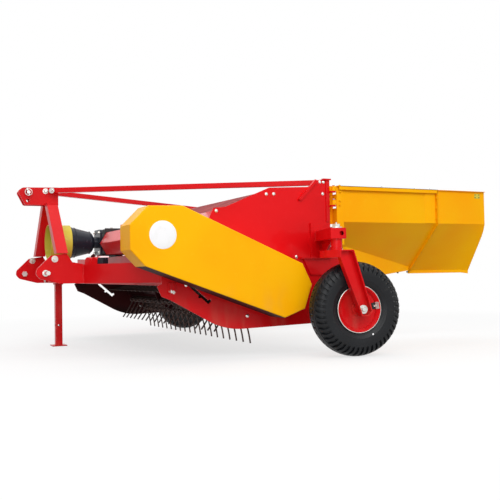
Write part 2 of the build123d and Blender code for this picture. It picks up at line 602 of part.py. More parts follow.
def tine_row():
    # square bar with its spring tines, hanging straight below the axis;
    # each tine is a coil seated on the bar and a leg that leaves the coil's rear side
    tube_half = PANEL_Y - PANEL_T - 20
    half = BAR_SIZE / 2
    bar = box(-half, half, -tube_half, tube_half, -BAR_R - half, -BAR_R + half)
    half -= BAR_WALL
    bar -= box(-half, half, -tube_half - 1, tube_half + 1, -BAR_R - half, -BAR_R + half)
    # the leg's line starts ahead of the radius that its tip lies on
    root_z = -BAR_R - BAR_SIZE / 2
    trail = radians(TINE_TRAIL)
    length = (TIP_R + root_z) / cos(trail)
    swing = COIL_R - TINE_D / 2
    drop = (COIL_R - COIL_SEAT - swing * sin(trail)) / cos(trail)  # along the leg, down to the coil's middle
    leg = extrude(RegularPolygon(TINE_D / 2, 6), amount=(length - drop) / 2, both=True)
    leg = Pos(0, 0, -(length + drop) / 2) * leg
    coil = extrude(RegularPolygon(COIL_R, 8), amount=COIL_W / 2, both=True)
    coil = Pos(-swing, 0, -drop) * Rot(90, 0, 0) * coil
    tine = Rot(0, -TINE_TRAIL, 0) * (leg + coil)
    ys = [(k - (TINES_PER_ROW - 1) / 2) * TINE_PITCH for k in range(TINES_PER_ROW)]
    return bar + [Pos(0, y, root_z) * tine for y in ys]


def tine_bars():
    row = tine_row()
    rows = [Rot(0, 360 * k / TINE_ROWS, 0) * row for k in range(TINE_ROWS)]
    return Pos(ROTOR_X, 0, ROTOR_Z) * Rot(0, ROTOR_REST, 0) * Compound(children=rows)


def rotor_bearing():
    y0 = -PANEL_Y
    flange = box(ROTOR_X - 58, ROTOR_X + 58, y0 - 14, y0, ROTOR_Z - 58, ROTOR_Z + 58)
    flange = fillet(flange.edges().filter_by(Axis.Y), radius=16)
    body = flange + rod_y(ROTOR_X, ROTOR_Z, 42, y0 - 34, y0 - 14)
    return body - rod_y(ROTOR_X, ROTOR_Z, SHAFT_R + RUN_GAP, y0 - 40, y0 + 1)


# Castor bracket on the panel, with the boss for the castor's spindle
def castor_bracket():
    # plate on the panel with a ledge, a square arm that slants forward and the boss for the spindle
    y_panel = -PANEL_Y
    skew = radians(BRACKET_SKEW)
    out = Vector(-sin(skew), -cos(skew), 0)
    spindle = Vector(CASTOR_X, -CASTOR_Y, (BRACKET_Z0 + BRACKET_Z1) / 2)
    end = spindle + out * BRACKET_END
    root = spindle - out * 2 * (CASTOR_Y - PANEL_Y)
    height = BRACKET_Z1 - BRACKET_Z0
    arm = tube_between(root, end, height, BRACKET_W, BRACKET_WALL, side=(0, 0, 1))
    arm += tube_between(end - out * BRACKET_WALL, end, height, BRACKET_W, 0, side=(0, 0, 1))
    hole = spindle + Vector(-out.Y, out.X, 0) * BRACKET_HOLE_AFT + out * BRACKET_END
    arm -= Plane(origin=hole, z_dir=out) * Cylinder(BRACKET_HOLE_R, 3 * BRACKET_WALL)
    # gusset under the arm, a triangle from beside the boss down to the ledge
    weld_z = BRACKET_Z0 + BRACKET_WALL / 2
    tip = Vector(spindle.X, spindle.Y, weld_z) - out * (BOSS_R + GUSSET_SET)
    heel = Vector(root.X, root.Y, weld_z)
    toe = Vector(root.X, root.Y, PAD_LEDGE_Z - 2 * (BRACKET_Z0 - PAD_LEDGE_Z))
    gusset = extrude(make_face(Polyline([tip, heel, toe], close=True).edges()), amount=PAD_T / 2, both=True)
    web = (arm + gusset) & box(0, 2 * CASTOR_X, -2 * CASTOR_Y, y_panel, PAD_LEDGE_Z, 2 * BRACKET_Z1)
    boss = rod_z(CASTOR_X, -CASTOR_Y, BOSS_R, CROWN_Z1 + COLLAR_H, BRACKET_Z1)
    pad = prism_y(PAD_OUTLINE, y_panel - PAD_T, y_panel)
    half = PAD_LEDGE_T / 2
    ledge = box(PAD_LEDGE_X, PAD_OUTLINE[1][0], y_panel - PAD_LEDGE_OUT, y_panel, PAD_LEDGE_Z - half,
                PAD_LEDGE_Z + half)
    bracket = web + boss + pad + ledge
    return bracket - rod_z(CASTOR_X, -CASTOR_Y, SPINDLE_R + RUN_GAP, 0, 2 * BRACKET_Z1)


def castor_arm():
    # spindle, crown over the tyre and one arm down its outer side, open outward; drawn straight ahead
    axle_x = CASTOR_X + CASTOR_TRAIL
    y_in = -CASTOR_Y - TYRE_W / 2 - ARM_GAP
    y_out = y_in - ARM_T
    nut_z = BRACKET_Z1 + SPINDLE_WASHER_T
    spindle = rod_z(CASTOR_X, -CASTOR_Y, SPINDLE_R, CROWN_Z1, nut_z)
    washer = rod_z(CASTOR_X, -CASTOR_Y, SPINDLE_R + SPINDLE_LIP, BRACKET_Z1 + 2 * RUN_GAP, nut_z)
    nut = Pos(CASTOR_X, -CASTOR_Y, nut_z) * extrude(RegularPolygon(SPINDLE_NUT_R, 6), amount=SPINDLE_NUT_H)
    collar = rod_z(CASTOR_X, -CASTOR_Y, BOSS_R, CROWN_Z1, CROWN_Z1 + COLLAR_H - 2 * RUN_GAP)
    front, rear, end_y = CASTOR_X - CROWN_FRONT, CASTOR_X + CROWN_REAR, -CASTOR_Y + CROWN_IN
    crown = prism_z([(CASTOR_X - ARM_FRONT, y_out), (rear, y_out), (rear, end_y), (front, end_y),
                     (front, -CASTOR_Y - CROWN_IN)], CROWN_Z0, CROWN_Z1)
    arm_outline = [(CASTOR_X - ARM_FRONT, CROWN_Z1), (rear, CROWN_Z1)]
    arm_outline += [(axle_x + dx, TYRE_R + dz) for dx, dz in ARM_TOE] + [(CASTOR_X - ARM_FRONT, CROWN_Z0)]
    face = make_face(Polyline([(x, y_out, z) for x, z in arm_outline], close=True).edges())
    core = offset(face, amount=-ARM_WALL, kind=Kind.INTERSECTION)
    hollow = extrude(core, amount=ARM_T - ARM_WEB, dir=(0, 1, 0))
    arm = extrude(face, amount=ARM_T, dir=(0, 1, 0)) - hollow
    crown -= hollow
    axle = rod_y(axle_x, TYRE_R, AXLE_R, y_in, -CASTOR_Y + RIM_W / 2 - HUB_SET)
    shoulder = rod_y(axle_x, TYRE_R, AXLE_R + SHOULDER_LIP, y_in, -CASTOR_Y - RIM_W / 2 + SHOULDER_SET)
    return spindle + washer + nut + collar + crown + arm + axle + shoulder


def rim():
    # wheel with its disc near the outer side: flanges, well, disc and hub, one revolved section
    half = RIM_W / 2
    well = RIM_R - WELL_DEPTH
    seat = RIM_R - FLANGE_W / 2
    hub_out = -half + SHOULDER_SET + 2 * RUN_GAP
    hub_in = half - HUB_SET - 4
    disc = -half + DISC_SET
    back = disc + RIM_DISC_T
    section = [  # y from the wheel's middle, radius
        (-half, RIM_R), (-half + FLANGE_W, seat), (-half + 14, well + 5), (half - 14, well + 5),
        (half - FLANGE_W, seat), (half, RIM_R), (half, RIM_R - 6), (half - 12, well),
        (back - DISC_RISE, well), (back, HUB_R + DISC_FLAT), (back, HUB_R), (hub_in, HUB_R),
        (hub_in, AXLE_R + RUN_GAP), (hub_out, AXLE_R + RUN_GAP), (hub_out, HUB_R), (disc, HUB_R),
        (disc, HUB_R + DISC_FLAT), (disc - DISC_RISE, well), (-half + 12, well), (-half, RIM_R - 6)]
    wire = Polyline([(r, y, 0) for y, r in section], close=True)
    wheel = revolve(make_face(wire.edges()), Axis.Y, 360)
    return Pos(CASTOR_X + CASTOR_TRAIL, -CASTOR_Y, TYRE_R) * wheel


def tyre():
    half = TYRE_W / 2
    bead = RIM_W / 2 - FLANGE_W
    bead_r = RIM_R - FLANGE_W / 2 + BEAD_GAP
    widest = RIM_R + 54
    outer = [  # y from the middle, radius
        (bead, bead_r), (half - 5, RIM_R + 18), (half, widest), (half - 6, TYRE_R - 35),
        (half - 20, TYRE_R - 14), (half - 42, TYRE_R - 3)]
    inner = [(bead - 9, bead_r), (half - TYRE_WALL, widest), (half - 28, TYRE_R - 28)]
    mirrored = [(-y, r) for y, r in outer[::-1]]
    section = outer + [(0, TYRE_R)] + mirrored + [(-y, r) for y, r in inner] + inner[::-1]
    wire = Polyline([(r, y, 0) for y, r in section], close=True)
    body = revolve(make_face(wire.edges()), Axis.Y, 360)
    return Pos(CASTOR_X + CASTOR_TRAIL, -CASTOR_Y, TYRE_R) * body


def toed_in(shape):
    # turned about the castor's spindle to the way it stands
    pivot = Pos(CASTOR_X, -CASTOR_Y, 0)
    return pivot * Rot(0, 0, -CASTOR_TOE_IN) * pivot.inverse() * shape


def door_sheet(x0, x1, in0, in1):
    # upright upper sheet and a lower sheet that leans inward, between two stations along X
    y = -DOOR_Y
    t = DOOR_T
    bottom = DOOR_BOTTOM_Z
    rows = []
    for x, lean in ((x0, in0), (x1, in1)):
        rows.append([(x, y, DOOR_TOP_Z), (x, y, DOOR_CREASE_Z), (x, y + lean, bottom),
                     (x, y + lean + t * 1.4, bottom), (x, y + t, DOOR_CREASE_Z), (x, y + t, DOOR_TOP_Z)])
    faces = [make_face(Polyline(row, close=True).edges()) for row in rows]
    return loft(faces, ruled=True)


def joint_strip(x0, x1):
    # strip that stands out along the joint of the leaning sheets
    y = -DOOR_Y
    run = Vector(0, DOOR_SLOPE_IN, DOOR_BOTTOM_Z - DOOR_CREASE_Z)
    out = Vector(0, run.Z, -run.Y).normalized() * DOOR_LIP
    top, low = Vector(x0, y, DOOR_CREASE_Z), Vector(x0, y, DOOR_CREASE_Z) + run
    return extrude(make_face(Polyline([top, low, low + out, top + out], close=True).edges()), amount=x1 - x0,
                   dir=(1, 0, 0))


def door_main():
    # the lower sheet is cut back in front and ends below in an upright skirt;
    # flanges stand out along the top and at the joint
    y = -DOOR_Y
    slope = DOOR_SLOPE_IN / (DOOR_CREASE_Z - DOOR_BOTTOM_Z)
    sheet = door_sheet(DOOR_X0, DOOR_JOINT_X, DOOR_SLOPE_IN, DOOR_SLOPE_IN)
    low = DOOR_BOTTOM_Z / 2
    (x_a, z_a), (x_b, z_b) = SKIRT_FRONT, SKIRT_REAR
    cut_z = DOOR_CREASE_Z - 4
    sheet -= prism_y([(DOOR_X0 - 1, cut_z), (DOOR_X0 + 24, cut_z), (x_a, z_a), (x_b, z_b), (x_b, low),
                      (DOOR_X0 - 1, low)], y - 50, y + 2 * DOOR_SLOPE_IN)
    y_a, y_b = y + (DOOR_CREASE_Z - z_a) * slope, y + (DOOR_CREASE_Z - z_b) * slope
    top = DOOR_T / 2  # the fold, where the skirt runs into the leaning sheet
    skirt = [(x_a, y_a, z_a + top), (x_b, y_b, z_b + top), (x_b, y_b, DOOR_BOTTOM_Z), (x_a, y_a, SKIRT_LOW_Z)]
    across = Vector(y_a - y_b, x_b - x_a, 0).normalized()
    sheet += extrude(make_face(Polyline(skirt, close=True).edges()), amount=DOOR_T, dir=across)
    sheet += box(DOOR_X0, DOOR_JOINT_X, y - DOOR_LIP, y, DOOR_TOP_Z - DOOR_T, DOOR_TOP_Z)
    sheet += box(DOOR_X0, DOOR_X0 + DOOR_STILE_W, y - 4, y, HINGE_ZS[0] - 2 * KNUCKLE_HALF, DOOR_TOP_Z)
    edge = box(DOOR_X0, DOOR_X0 + DOOR_T, y, y + DOOR_RETURN, HINGE_ZS[0] - 2 * KNUCKLE_HALF, DOOR_TOP_Z)
    for z in HINGE_ZS:  # notched to pass the post's lugs when the door turns in
        lug_top = z - KNUCKLE_HALF - 1
        edge -= box(DOOR_X0 - 1, DOOR_X0 + DOOR_T + 1, y + DOOR_T, y + DOOR_RETURN + 1,
                    lug_top - LUG_T - LUG_NOTCH, lug_top + LUG_NOTCH)
    sheet += edge
    sheet += box(DOOR_JOINT_X - DOOR_T, DOOR_JOINT_X, y - DOOR_LIP, y, DOOR_CREASE_Z, DOOR_TOP_Z)
    sheet += joint_strip(DOOR_JOINT_X - DOOR_T, DOOR_JOINT_X)
    for z in HINGE_ZS:
        leaf = box(HINGE_X, DOOR_X0 + 30, y - 2, y + 2, z - KNUCKLE_HALF, z + KNUCKLE_HALF)
        leaf += rod_z(HINGE_X, -HINGE_Y, KNUCKLE_R, z - KNUCKLE_HALF, z + KNUCKLE_HALF)
        sheet += leaf
    for z in HINGE_ZS:
        sheet -= rod_z(HINGE_X, -HINGE_Y, HINGE_PIN_R + RUN_GAP, z - KNUCKLE_HALF - 1, z + KNUCKLE_HALF + 1)
    return sheet


def door_end():
    sheet = door_sheet(DOOR_JOINT_X, DOOR_END_X, DOOR_SLOPE_IN, DOOR_SLOPE_IN_END)
    low = DOOR_BOTTOM_Z / 2
    cut = prism_y([(END_CUT_X, low), (END_CUT_X, DOOR_BOTTOM_Z), (DOOR_END_X + 1, DOOR_CREASE_Z),
                   (DOOR_END_X + 100, low)], -DOOR_Y - 50, -DOOR_Y + 2 * DOOR_SLOPE_IN)
    sheet -= cut
    y = -DOOR_Y
    sheet += box(DOOR_JOINT_X, DOOR_JOINT_X + DOOR_T, y - DOOR_LIP, y, DOOR_CREASE_Z, DOOR_TOP_Z)
    return sheet + joint_strip(DOOR_JOINT_X, DOOR_JOINT_X + DOOR_T)


def stand_socket():
    outer = STAND_W / 2 + SLIDE_GAP + SOCKET_WALL
    inner = STAND_W / 2 + SLIDE_GAP
    low, high = BEAM_Z0 - 12, BEAM_Z1 + 10
    socket = Pos(STAND_X, STAND_Y, (low + high) / 2) * Box(2 * outer, 2 * outer, high - low)
    return socket - Pos(STAND_X, STAND_Y, BEAM_Z1) * Box(2 * inner, 2 * inner, 2 * BEAM_Z1)


def stand_leg():
    half = STAND_W / 2
    leg = box(STAND_X - half, STAND_X + half, STAND_Y - half, STAND_Y + half, FOOT_T, STAND_TOP_Z)
    wall = half - STAND_WALL
    leg -= box(STAND_X - wall, STAND_X + wall, STAND_Y - wall, STAND_Y + wall, FOOT_T - 1, STAND_TOP_Z + 1)
    leg -= rod_x(STAND_Y, STAND_HOLE_Z, STAND_HOLE_R, STAND_X - STAND_W, STAND_X + STAND_W)
    leg -= rod_y(STAND_X, STAND_HOLE_Z, STAND_HOLE_R, STAND_Y - STAND_W, STAND_Y + STAND_W)
    return leg + Pos(STAND_X, STAND_Y, FOOT_T / 2) * Box(FOOT_W, FOOT_W, FOOT_T)


def build():
    socket_back = STAND_X + STAND_W / 2 + SLIDE_GAP + SOCKET_WALL
    nodes = {
        "headstock_beam": headstock(),
        "stand_socket": stand_socket(),
        "stand_leg": stand_leg(),
        "top_link_bracket": top_bracket(),
        "top_link_pin": top_pin(),
        "front_cross_beam": cross_beam(),
        "gearbox": gearbox(),
        "pto_input_shaft": input_shaft(),
        "pto_guard_cone": pto_cone(),
        "pto_guard_collar": pto_collar(),
        "shaft_casing": shaft_casing(),
        "belt_case": belt_case(),
        "belt_case_back": case_back(),
        "hood": hood(),
        "rear_cross_tube": rear_tube(),
        "rotor_shaft": rotor_shaft(),
        "tine_bars": tine_bars(),
        "main_beam_left": main_beam(HEAD_REAR_X),
        "main_beam_right": on_right(main_beam(socket_back)),
    }
    pairs = {
        "hitch_plate": hitch_plate(),
        "hitch_stud": hitch_stud(),
        "mast_leg": mast_leg(),
        "tie_bar": tie_bar(),
        "side_panel": side_panel(),
        "rear_post": rear_post(),
        "rotor_bearing": rotor_bearing(),
        "castor_bracket": castor_bracket(),
        "castor_arm": toed_in(castor_arm()),
        "rim": toed_in(rim()),
        "tyre": toed_in(tyre()),
        "door": door_main(),
        "door_extension": door_end(),
    }
    for name, shape in pairs.items():
        nodes[name + "_left"] = shape
        nodes[name + "_right"] = on_right(shape)
    return nodes


def main():
    nodes = build()
    reach = Compound(children=[Compound(children=list(n.solids())) for n in nodes.values()]).bounding_box()
    middle = Pos(-(reach.min.X + reach.max.X) / 2, 0, 0)
    os.makedirs("parts", exist_ok=True)
    for name, shape in nodes.items():
        export_step(middle * shape, f"parts/{name}.step")
    print("moved by", round(-(reach.min.X + reach.max.X) / 2, 3), "size", reach.size)


main()
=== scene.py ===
# Hay tedder: finishes, fasteners, tread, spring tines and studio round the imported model.
# Metres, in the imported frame: +X to the rear, +Y to the machine's right, +Z up.
import json
import math

import bmesh
import bpy
from mathutils import Matrix, Vector


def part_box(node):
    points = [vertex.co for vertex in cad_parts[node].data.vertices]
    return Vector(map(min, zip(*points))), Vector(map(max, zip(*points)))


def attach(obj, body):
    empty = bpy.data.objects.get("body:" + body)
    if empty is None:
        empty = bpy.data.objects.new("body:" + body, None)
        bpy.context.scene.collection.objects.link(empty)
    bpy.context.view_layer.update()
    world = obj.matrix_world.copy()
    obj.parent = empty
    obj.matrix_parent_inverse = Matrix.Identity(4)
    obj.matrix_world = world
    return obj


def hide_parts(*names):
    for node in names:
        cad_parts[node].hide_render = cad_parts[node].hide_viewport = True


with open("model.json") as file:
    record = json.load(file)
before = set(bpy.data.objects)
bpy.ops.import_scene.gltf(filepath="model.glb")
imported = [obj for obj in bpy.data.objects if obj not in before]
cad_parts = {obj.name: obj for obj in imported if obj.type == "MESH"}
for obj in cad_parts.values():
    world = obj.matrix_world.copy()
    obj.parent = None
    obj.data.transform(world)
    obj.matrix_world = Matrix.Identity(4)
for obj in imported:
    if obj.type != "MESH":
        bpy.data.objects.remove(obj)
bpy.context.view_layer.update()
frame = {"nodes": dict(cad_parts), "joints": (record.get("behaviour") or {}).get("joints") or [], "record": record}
nodes = frame["nodes"]
joints = {joint["name"]: joint for joint in frame["joints"]}
sides = {"left": -1.0, "right": 1.0}

studLow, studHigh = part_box("hitch_stud_left")
studX = (studLow.x + studHigh.x) / 2


def at(x, y, z):
    # a place given behind the lower hitch studs, to the right of the middle and above the ground
    return Vector((studX + x, y, z))


def pivot(joint):
    return Vector(joints[joint]["pos_m"])


print("frame loaded,", len(nodes), "nodes")


# Shader values written as expressions
class Value:
    def __init__(self, tree, socket):
        self.tree = tree
        self.socket = socket

    def __add__(self, other):
        return self.tree.maths("ADD", self, other)

    def __radd__(self, other):
        return self.tree.maths("ADD", other, self)

    def __sub__(self, other):
        return self.tree.maths("SUBTRACT", self, other)

    def __rsub__(self, other):
        return self.tree.maths("SUBTRACT", other, self)

    def __mul__(self, other):
        return self.tree.maths("MULTIPLY", self, other)

    def __rmul__(self, other):
        return self.tree.maths("MULTIPLY", other, self)


class NodeTree:
    # the nodes of a material or of the world
    def __init__(self, tree):
        self.tree = tree
        tree.nodes.clear()

    def node(self, kind, values, result=0, **settings):
        # settings come first, then a value or a link for each socket; an output node gives its first input
        made = self.tree.nodes.new(kind)
        for name, value in settings.items():
            setattr(made, name, value)
        for name, value in values.items():
            if isinstance(value, Value):
                self.tree.links.new(value.socket, made.inputs[name])
            else:
                made.inputs[name].default_value = value
        sockets = made.outputs or made.inputs
        return Value(self, sockets[result])

    def maths(self, operation, first, second):
        return self.node("ShaderNodeMath", {0: first, 1: second}, operation=operation)

    def seenRays(self):
        # 1 for what the camera, a mirror or glass sees, 0 for the light that reaches the machine
        seen = self.node("ShaderNodeLightPath", {}, "Is Camera Ray")
        for other in ("Is Glossy Ray", "Is Transmission Ray"):
            seen = self.maths("MAXIMUM", seen, self.node("ShaderNodeLightPath", {}, other))
        return seen


class Finish(NodeTree):
    def __init__(self, name, slotName=None, **uniform):
        self.material = bpy.data.materials.new(name)
        self.material.use_nodes = True
        super().__init__(self.material.node_tree)
        self.slotName = slotName
        values = {socketName.replace("_", " "): value for socketName, value in uniform.items()}
        self.shader = self.node("ShaderNodeBsdfPrincipled", values)
        self.surface = self.node("ShaderNodeOutputMaterial", {"Surface": self.shader})
        self.place = self.node("ShaderNodeTexCoord", {}, "Object")

    def noise(self, scale, detail=3.0, stretch=(1, 1, 1)):
        place = self.node("ShaderNodeMapping", {"Vector": self.place, "Scale": stretch})
        return self.node("ShaderNodeTexNoise", {"Vector": place, "Scale": scale, "Detail": detail}, "Fac")

    def rise(self, value, low, high):
        # 0 below low, 1 above high and smooth between
        return self.node("ShaderNodeMapRange", {"Value": value, "From Min": low, "From Max": high},
                         interpolation_type="SMOOTHSTEP")

    def axis(self, source, letter):
        return self.node("ShaderNodeSeparateXYZ", {"Vector": source}, letter)

    def blend(self, mask, below, above):
        return self.node("ShaderNodeMix", {0: mask, 6: below, 7: above}, 2, data_type="RGBA")

    def give(self, socketName, value):
        self.tree.links.new(value.socket, self.shader.socket.node.inputs[socketName])

    def bump(self, height, strength, distance, edgeRadius=0.0):
        # relief, on edges that catch the light as if they were rounded
        values = {"Height": height, "Strength": strength, "Distance": distance}
        if edgeRadius:
            values["Normal"] = self.node("ShaderNodeBevel", {"Radius": edgeRadius}, samples=4)
        self.give("Normal", self.node("ShaderNodeBump", values))


def rgba(*picked):
    # from the 0 to 255 of a colour picker to the shader's linear values
    return tuple(((c / 255 + 0.055) / 1.055) ** 2.4 if c > 10 else c / 255 / 12.92 for c in picked) + (1.0,)


paintLook = {
    # body tone, slow darker patches and pale specks
    "red": ((224, 12, 20), (206, 8, 15), (234, 44, 48)),
    # the hood's front slope: a paler red body tone as a painted highlight
    "paintedHighlight": ((230, 66, 70), (224, 54, 60), (240, 120, 122)),
    "yellow": ((255, 186, 6), (255, 170, 4), (255, 202, 44)),
    # painted shade: dark dull tones for faces inside and underneath and for the hood's top, with random streaks
    "inside": ((62, 9, 12), (30, 7, 8)),
    "hoodTopShade": ((160, 34, 36), (128, 24, 27)),
    "dust": (176, 150, 128), "dustAmount": 0.22, "dustTop": 0.42,
    "cloudScale": 2.6, "speckScale": 38.0, "scuffScale": 130.0, "peelScale": 420.0,
    "specular": 0.13, "coat": 0.10, "edgeRadius": 0.0022,
}


def paint(name, slotName, base, deep, pale, roughness=0.30, shine=1.0):
    # sprayed gloss: slow changes of tone, a fine orange peel, scuffs, and dust where it can settle
    finish = Finish(name, slotName, IOR=1.5, Coat_Roughness=0.05,
                    Specular_IOR_Level=paintLook["specular"] * shine)
    cloud = finish.noise(paintLook["cloudScale"], 2.0)
    fine = finish.noise(paintLook["speckScale"], 4.0)
    tone = finish.blend(finish.rise(cloud, 0.35, 0.75), rgba(*base), rgba(*deep))
    tone = finish.blend(finish.rise(fine, 0.55, 0.85) * 0.25, tone, rgba(*pale))
    scratch = finish.rise(finish.noise(paintLook["scuffScale"], 3.0, (1, 1, 0.12)), 0.68, 0.78)
    scuff = scratch * finish.rise(finish.noise(5.0), 0.52, 0.66)
    tone = finish.blend(scuff * 0.35, tone, rgba(*pale))
    upward = finish.axis(finish.node("ShaderNodeNewGeometry", {}, "Normal"), "Z")
    settled = finish.rise(upward, 0.55, 0.98) * finish.rise(finish.noise(9.0, 5.0), 0.42, 0.72)
    low = 1.0 - finish.rise(finish.axis(finish.place, "Z"), 0.05, paintLook["dustTop"])
    grime = low * finish.rise(finish.noise(14.0, 6.0, (1, 1, 0.35)), 0.46, 0.74)
    dust = (settled * 0.35 + grime) * paintLook["dustAmount"]
    coat = paintLook["coat"] * shine
    finish.give("Base Color", finish.blend(dust, tone, rgba(*paintLook["dust"])))
    finish.give("Roughness", roughness + 0.10 * fine + 0.45 * dust + 0.2 * scuff)
    finish.give("Coat Weight", coat - coat * 0.9 * dust)
    finish.bump(finish.noise(paintLook["peelScale"], 2.0), 0.10, 0.0004, paintLook["edgeRadius"])
    return finish


def dullPaintedShade(name, slotName, base, deep):
    # painted shade: dark dull red for faces inside and underneath and for the hood's top, with random darker
    # streaks and a rough grain
    finish = Finish(name, slotName, IOR=1.45, Specular_IOR_Level=0.2)
    streak = finish.noise(7.0, 6.0, (0.35, 1, 1))
    tone = finish.blend(finish.rise(streak, 0.35, 0.65), rgba(*base), rgba(*deep))
    finish.give("Base Color", tone)
    finish.give("Roughness", 0.55 + 0.25 * streak)
    finish.bump(finish.noise(90.0, 5.0), 0.25, 0.001)
    return finish


def bareMetal(name, slotName, base, stain, roughness, metallic=1.0):
    finish = Finish(name, slotName)
    cloud = finish.noise(60.0, 4.0)
    speck = finish.rise(finish.noise(240.0, 3.0), 0.55, 0.75)
    finish.give("Base Color", finish.blend(finish.rise(cloud, 0.4, 0.75) * 0.6, rgba(*base), rgba(*stain)))
    finish.give("Roughness", roughness + 0.18 * cloud)
    finish.give("Metallic", metallic - 0.25 * speck)
    finish.bump(finish.noise(500.0, 3.0), 0.12, 0.0003)
    return finish


def moulded(name, slotName, base, worn, roughness):
    # moulded plastic: fine grain and chalky scuffs
    finish = Finish(name, slotName, IOR=1.46, Specular_IOR_Level=0.25)
    scuff = finish.rise(finish.noise(26.0, 6.0), 0.58, 0.80)
    finish.give("Base Color", finish.blend(scuff * 0.5, rgba(*base), rgba(*worn)))
    finish.give("Roughness", roughness + 0.2 * scuff)
    finish.bump(finish.noise(700.0, 2.0), 0.20, 0.0004, 0.0015)
    return finish


def casting(name, slotName, base, worn):
    # painted iron with the sand's texture
    finish = Finish(name, slotName, IOR=1.5)
    sand = finish.noise(160.0, 6.0)
    finish.give("Base Color", finish.blend(finish.rise(sand, 0.55, 0.8) * 0.5, rgba(*base), rgba(*worn)))
    finish.give("Roughness", 0.42 + 0.25 * sand)
    finish.bump(sand, 0.45, 0.0012, 0.0020)
    return finish


def rubber(name, slotName):
    # tread rubber with dry earth in the grooves and a faint bloom on the wall
    finish = Finish(name, slotName, IOR=1.5, Specular_IOR_Level=0.24)
    bloom = finish.noise(11.0, 5.0)
    grain = finish.noise(380.0, 4.0)
    earth = finish.rise(finish.noise(46.0, 6.0), 0.60, 0.82)
    tone = finish.blend(bloom, rgba(13, 14, 16), rgba(25, 27, 31))
    finish.give("Base Color", finish.blend(earth * 0.10, tone, rgba(96, 92, 84)))
    finish.give("Roughness", 0.30 + 0.20 * bloom)
    finish.bump(grain, 0.18, 0.0006)
    return finish


def vinyl(name):
    finish = Finish(name, None, IOR=1.5, Coat_Weight=0.3, Coat_Roughness=0.1)
    smear = finish.rise(finish.noise(30.0, 5.0), 0.5, 0.8)
    finish.give("Base Color", finish.blend(smear * 0.35, rgba(246, 246, 248), rgba(226, 226, 224)))
    finish.give("Roughness", 0.30 + 0.2 * smear)
    return finish


redPaint = paint("redPaint", "red_paint", *paintLook["red"])
# painted shade: dark red for the panels' inner faces, the hood's underside, the cross beam's rear and underside,
# the belt case's bottom and the rotor shaft
redPaintedShade = dullPaintedShade("redPaintInsidePaintedShade", "red_paint", *paintLook["inside"])
# painted shade: a darker, duller red on the hood's upper slope
redHoodPaintedShade = dullPaintedShade("redPaintHoodPaintedShade", "red_paint", *paintLook["hoodTopShade"])
yellowPaint = paint("yellowPaint", "yellow_paint", *paintLook["yellow"], roughness=0.34, shine=0.40)
# painted highlight: a paler red on the hood's front slope
redPaintedHighlight = paint("redPaintPaintedHighlight", "red_paint", *paintLook["paintedHighlight"], roughness=0.12, shine=4.0)
# near-black plastic; its bluish tint is a painted reflection of the sky
blackPlastic = moulded("blackGuardPlastic", "black_plastic", (34, 38, 48), (96, 102, 116), 0.26)
olivePlastic = moulded("yellowGuardPlastic", "yellow_plastic", (214, 200, 72), (228, 220, 140), 0.42)
blackIron = casting("blackCasting", "black_casting", (20, 22, 24), (60, 58, 56))
zinc = bareMetal("zincPlate", "bright_steel", (214, 214, 210), (176, 170, 154), 0.24)
machined = bareMetal("machinedSteel", "bright_steel", (190, 190, 188), (140, 136, 130), 0.22)
tineSteel = bareMetal("tineSteel", "tine_steel", (74, 62, 60), (92, 54, 38), 0.40, 0.85)
tyreRubber = rubber("tyreRubber", "tyre")
whiteVinyl = vinyl("whiteVinyl")
print("finishes made")


def wear(node, finish):
    mesh = nodes[node].data
    mesh.materials.clear()
    mesh.materials.append(finish.material)


def wearWhere(node, finish, test):
    # a second finish on the faces whose middle and direction pass the test
    mesh = nodes[node].data
    mesh.materials.append(finish.material)
    for face in mesh.polygons:
        if test(face.center, face.normal):
            face.material_index = len(mesh.materials) - 1


finishOfSlot = {"red_paint": redPaint, "yellow_paint": yellowPaint, "black_plastic": blackPlastic,
                "yellow_plastic": olivePlastic, "black_casting": blackIron, "bright_steel": zinc,
                "tine_steel": tineSteel, "tyre": tyreRubber}
for subpart in frame["record"]["subparts"]:
    wear(subpart["node"], finishOfSlot[subpart["material_slot"]])
# second finishes start at a place, or where a face's direction has more than this share the named way
wearLook = {"capHeight": 0.0225, "hoodFold": 0.79, "inward": 0.5, "downward": 0.1, "hoodTopShade": 0.7,
            "hoodSlope": 0.2, "beamSide": 0.5, "caseBottom": 0.86}
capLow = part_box("castor_arm_left")[1].z - wearLook["capHeight"]  # nut and washer on the castor's spindle
hoodFold = at(wearLook["hoodFold"], 0, 0).x
# painted shade on faces inside and underneath and on the hood's top; a painted highlight on the hood's front slope
for side, sign in sides.items():
    wearWhere("side_panel_" + side, redPaintedShade, lambda middle, normal: normal.y * sign < -wearLook["inward"])
    wearWhere("castor_arm_" + side, zinc, lambda middle, normal: middle.z > capLow)
wearWhere("hood", redPaintedShade, lambda middle, normal: normal.z < -wearLook["downward"])
wearWhere("hood", redHoodPaintedShade, lambda middle, normal: normal.z > wearLook["hoodTopShade"] and middle.x > hoodFold)
wearWhere("hood", redPaintedHighlight, lambda middle, normal: normal.z > wearLook["hoodSlope"] and middle.x <= hoodFold)
wearWhere("front_cross_beam", redPaintedShade,
          lambda middle, normal: normal.x > wearLook["beamSide"] or normal.z < -wearLook["beamSide"])
wearWhere("belt_case", redPaintedShade, lambda middle, normal: normal.z < -wearLook["caseBottom"])
wear("rotor_shaft", redPaintedShade)
print("finishes on the CAD nodes")


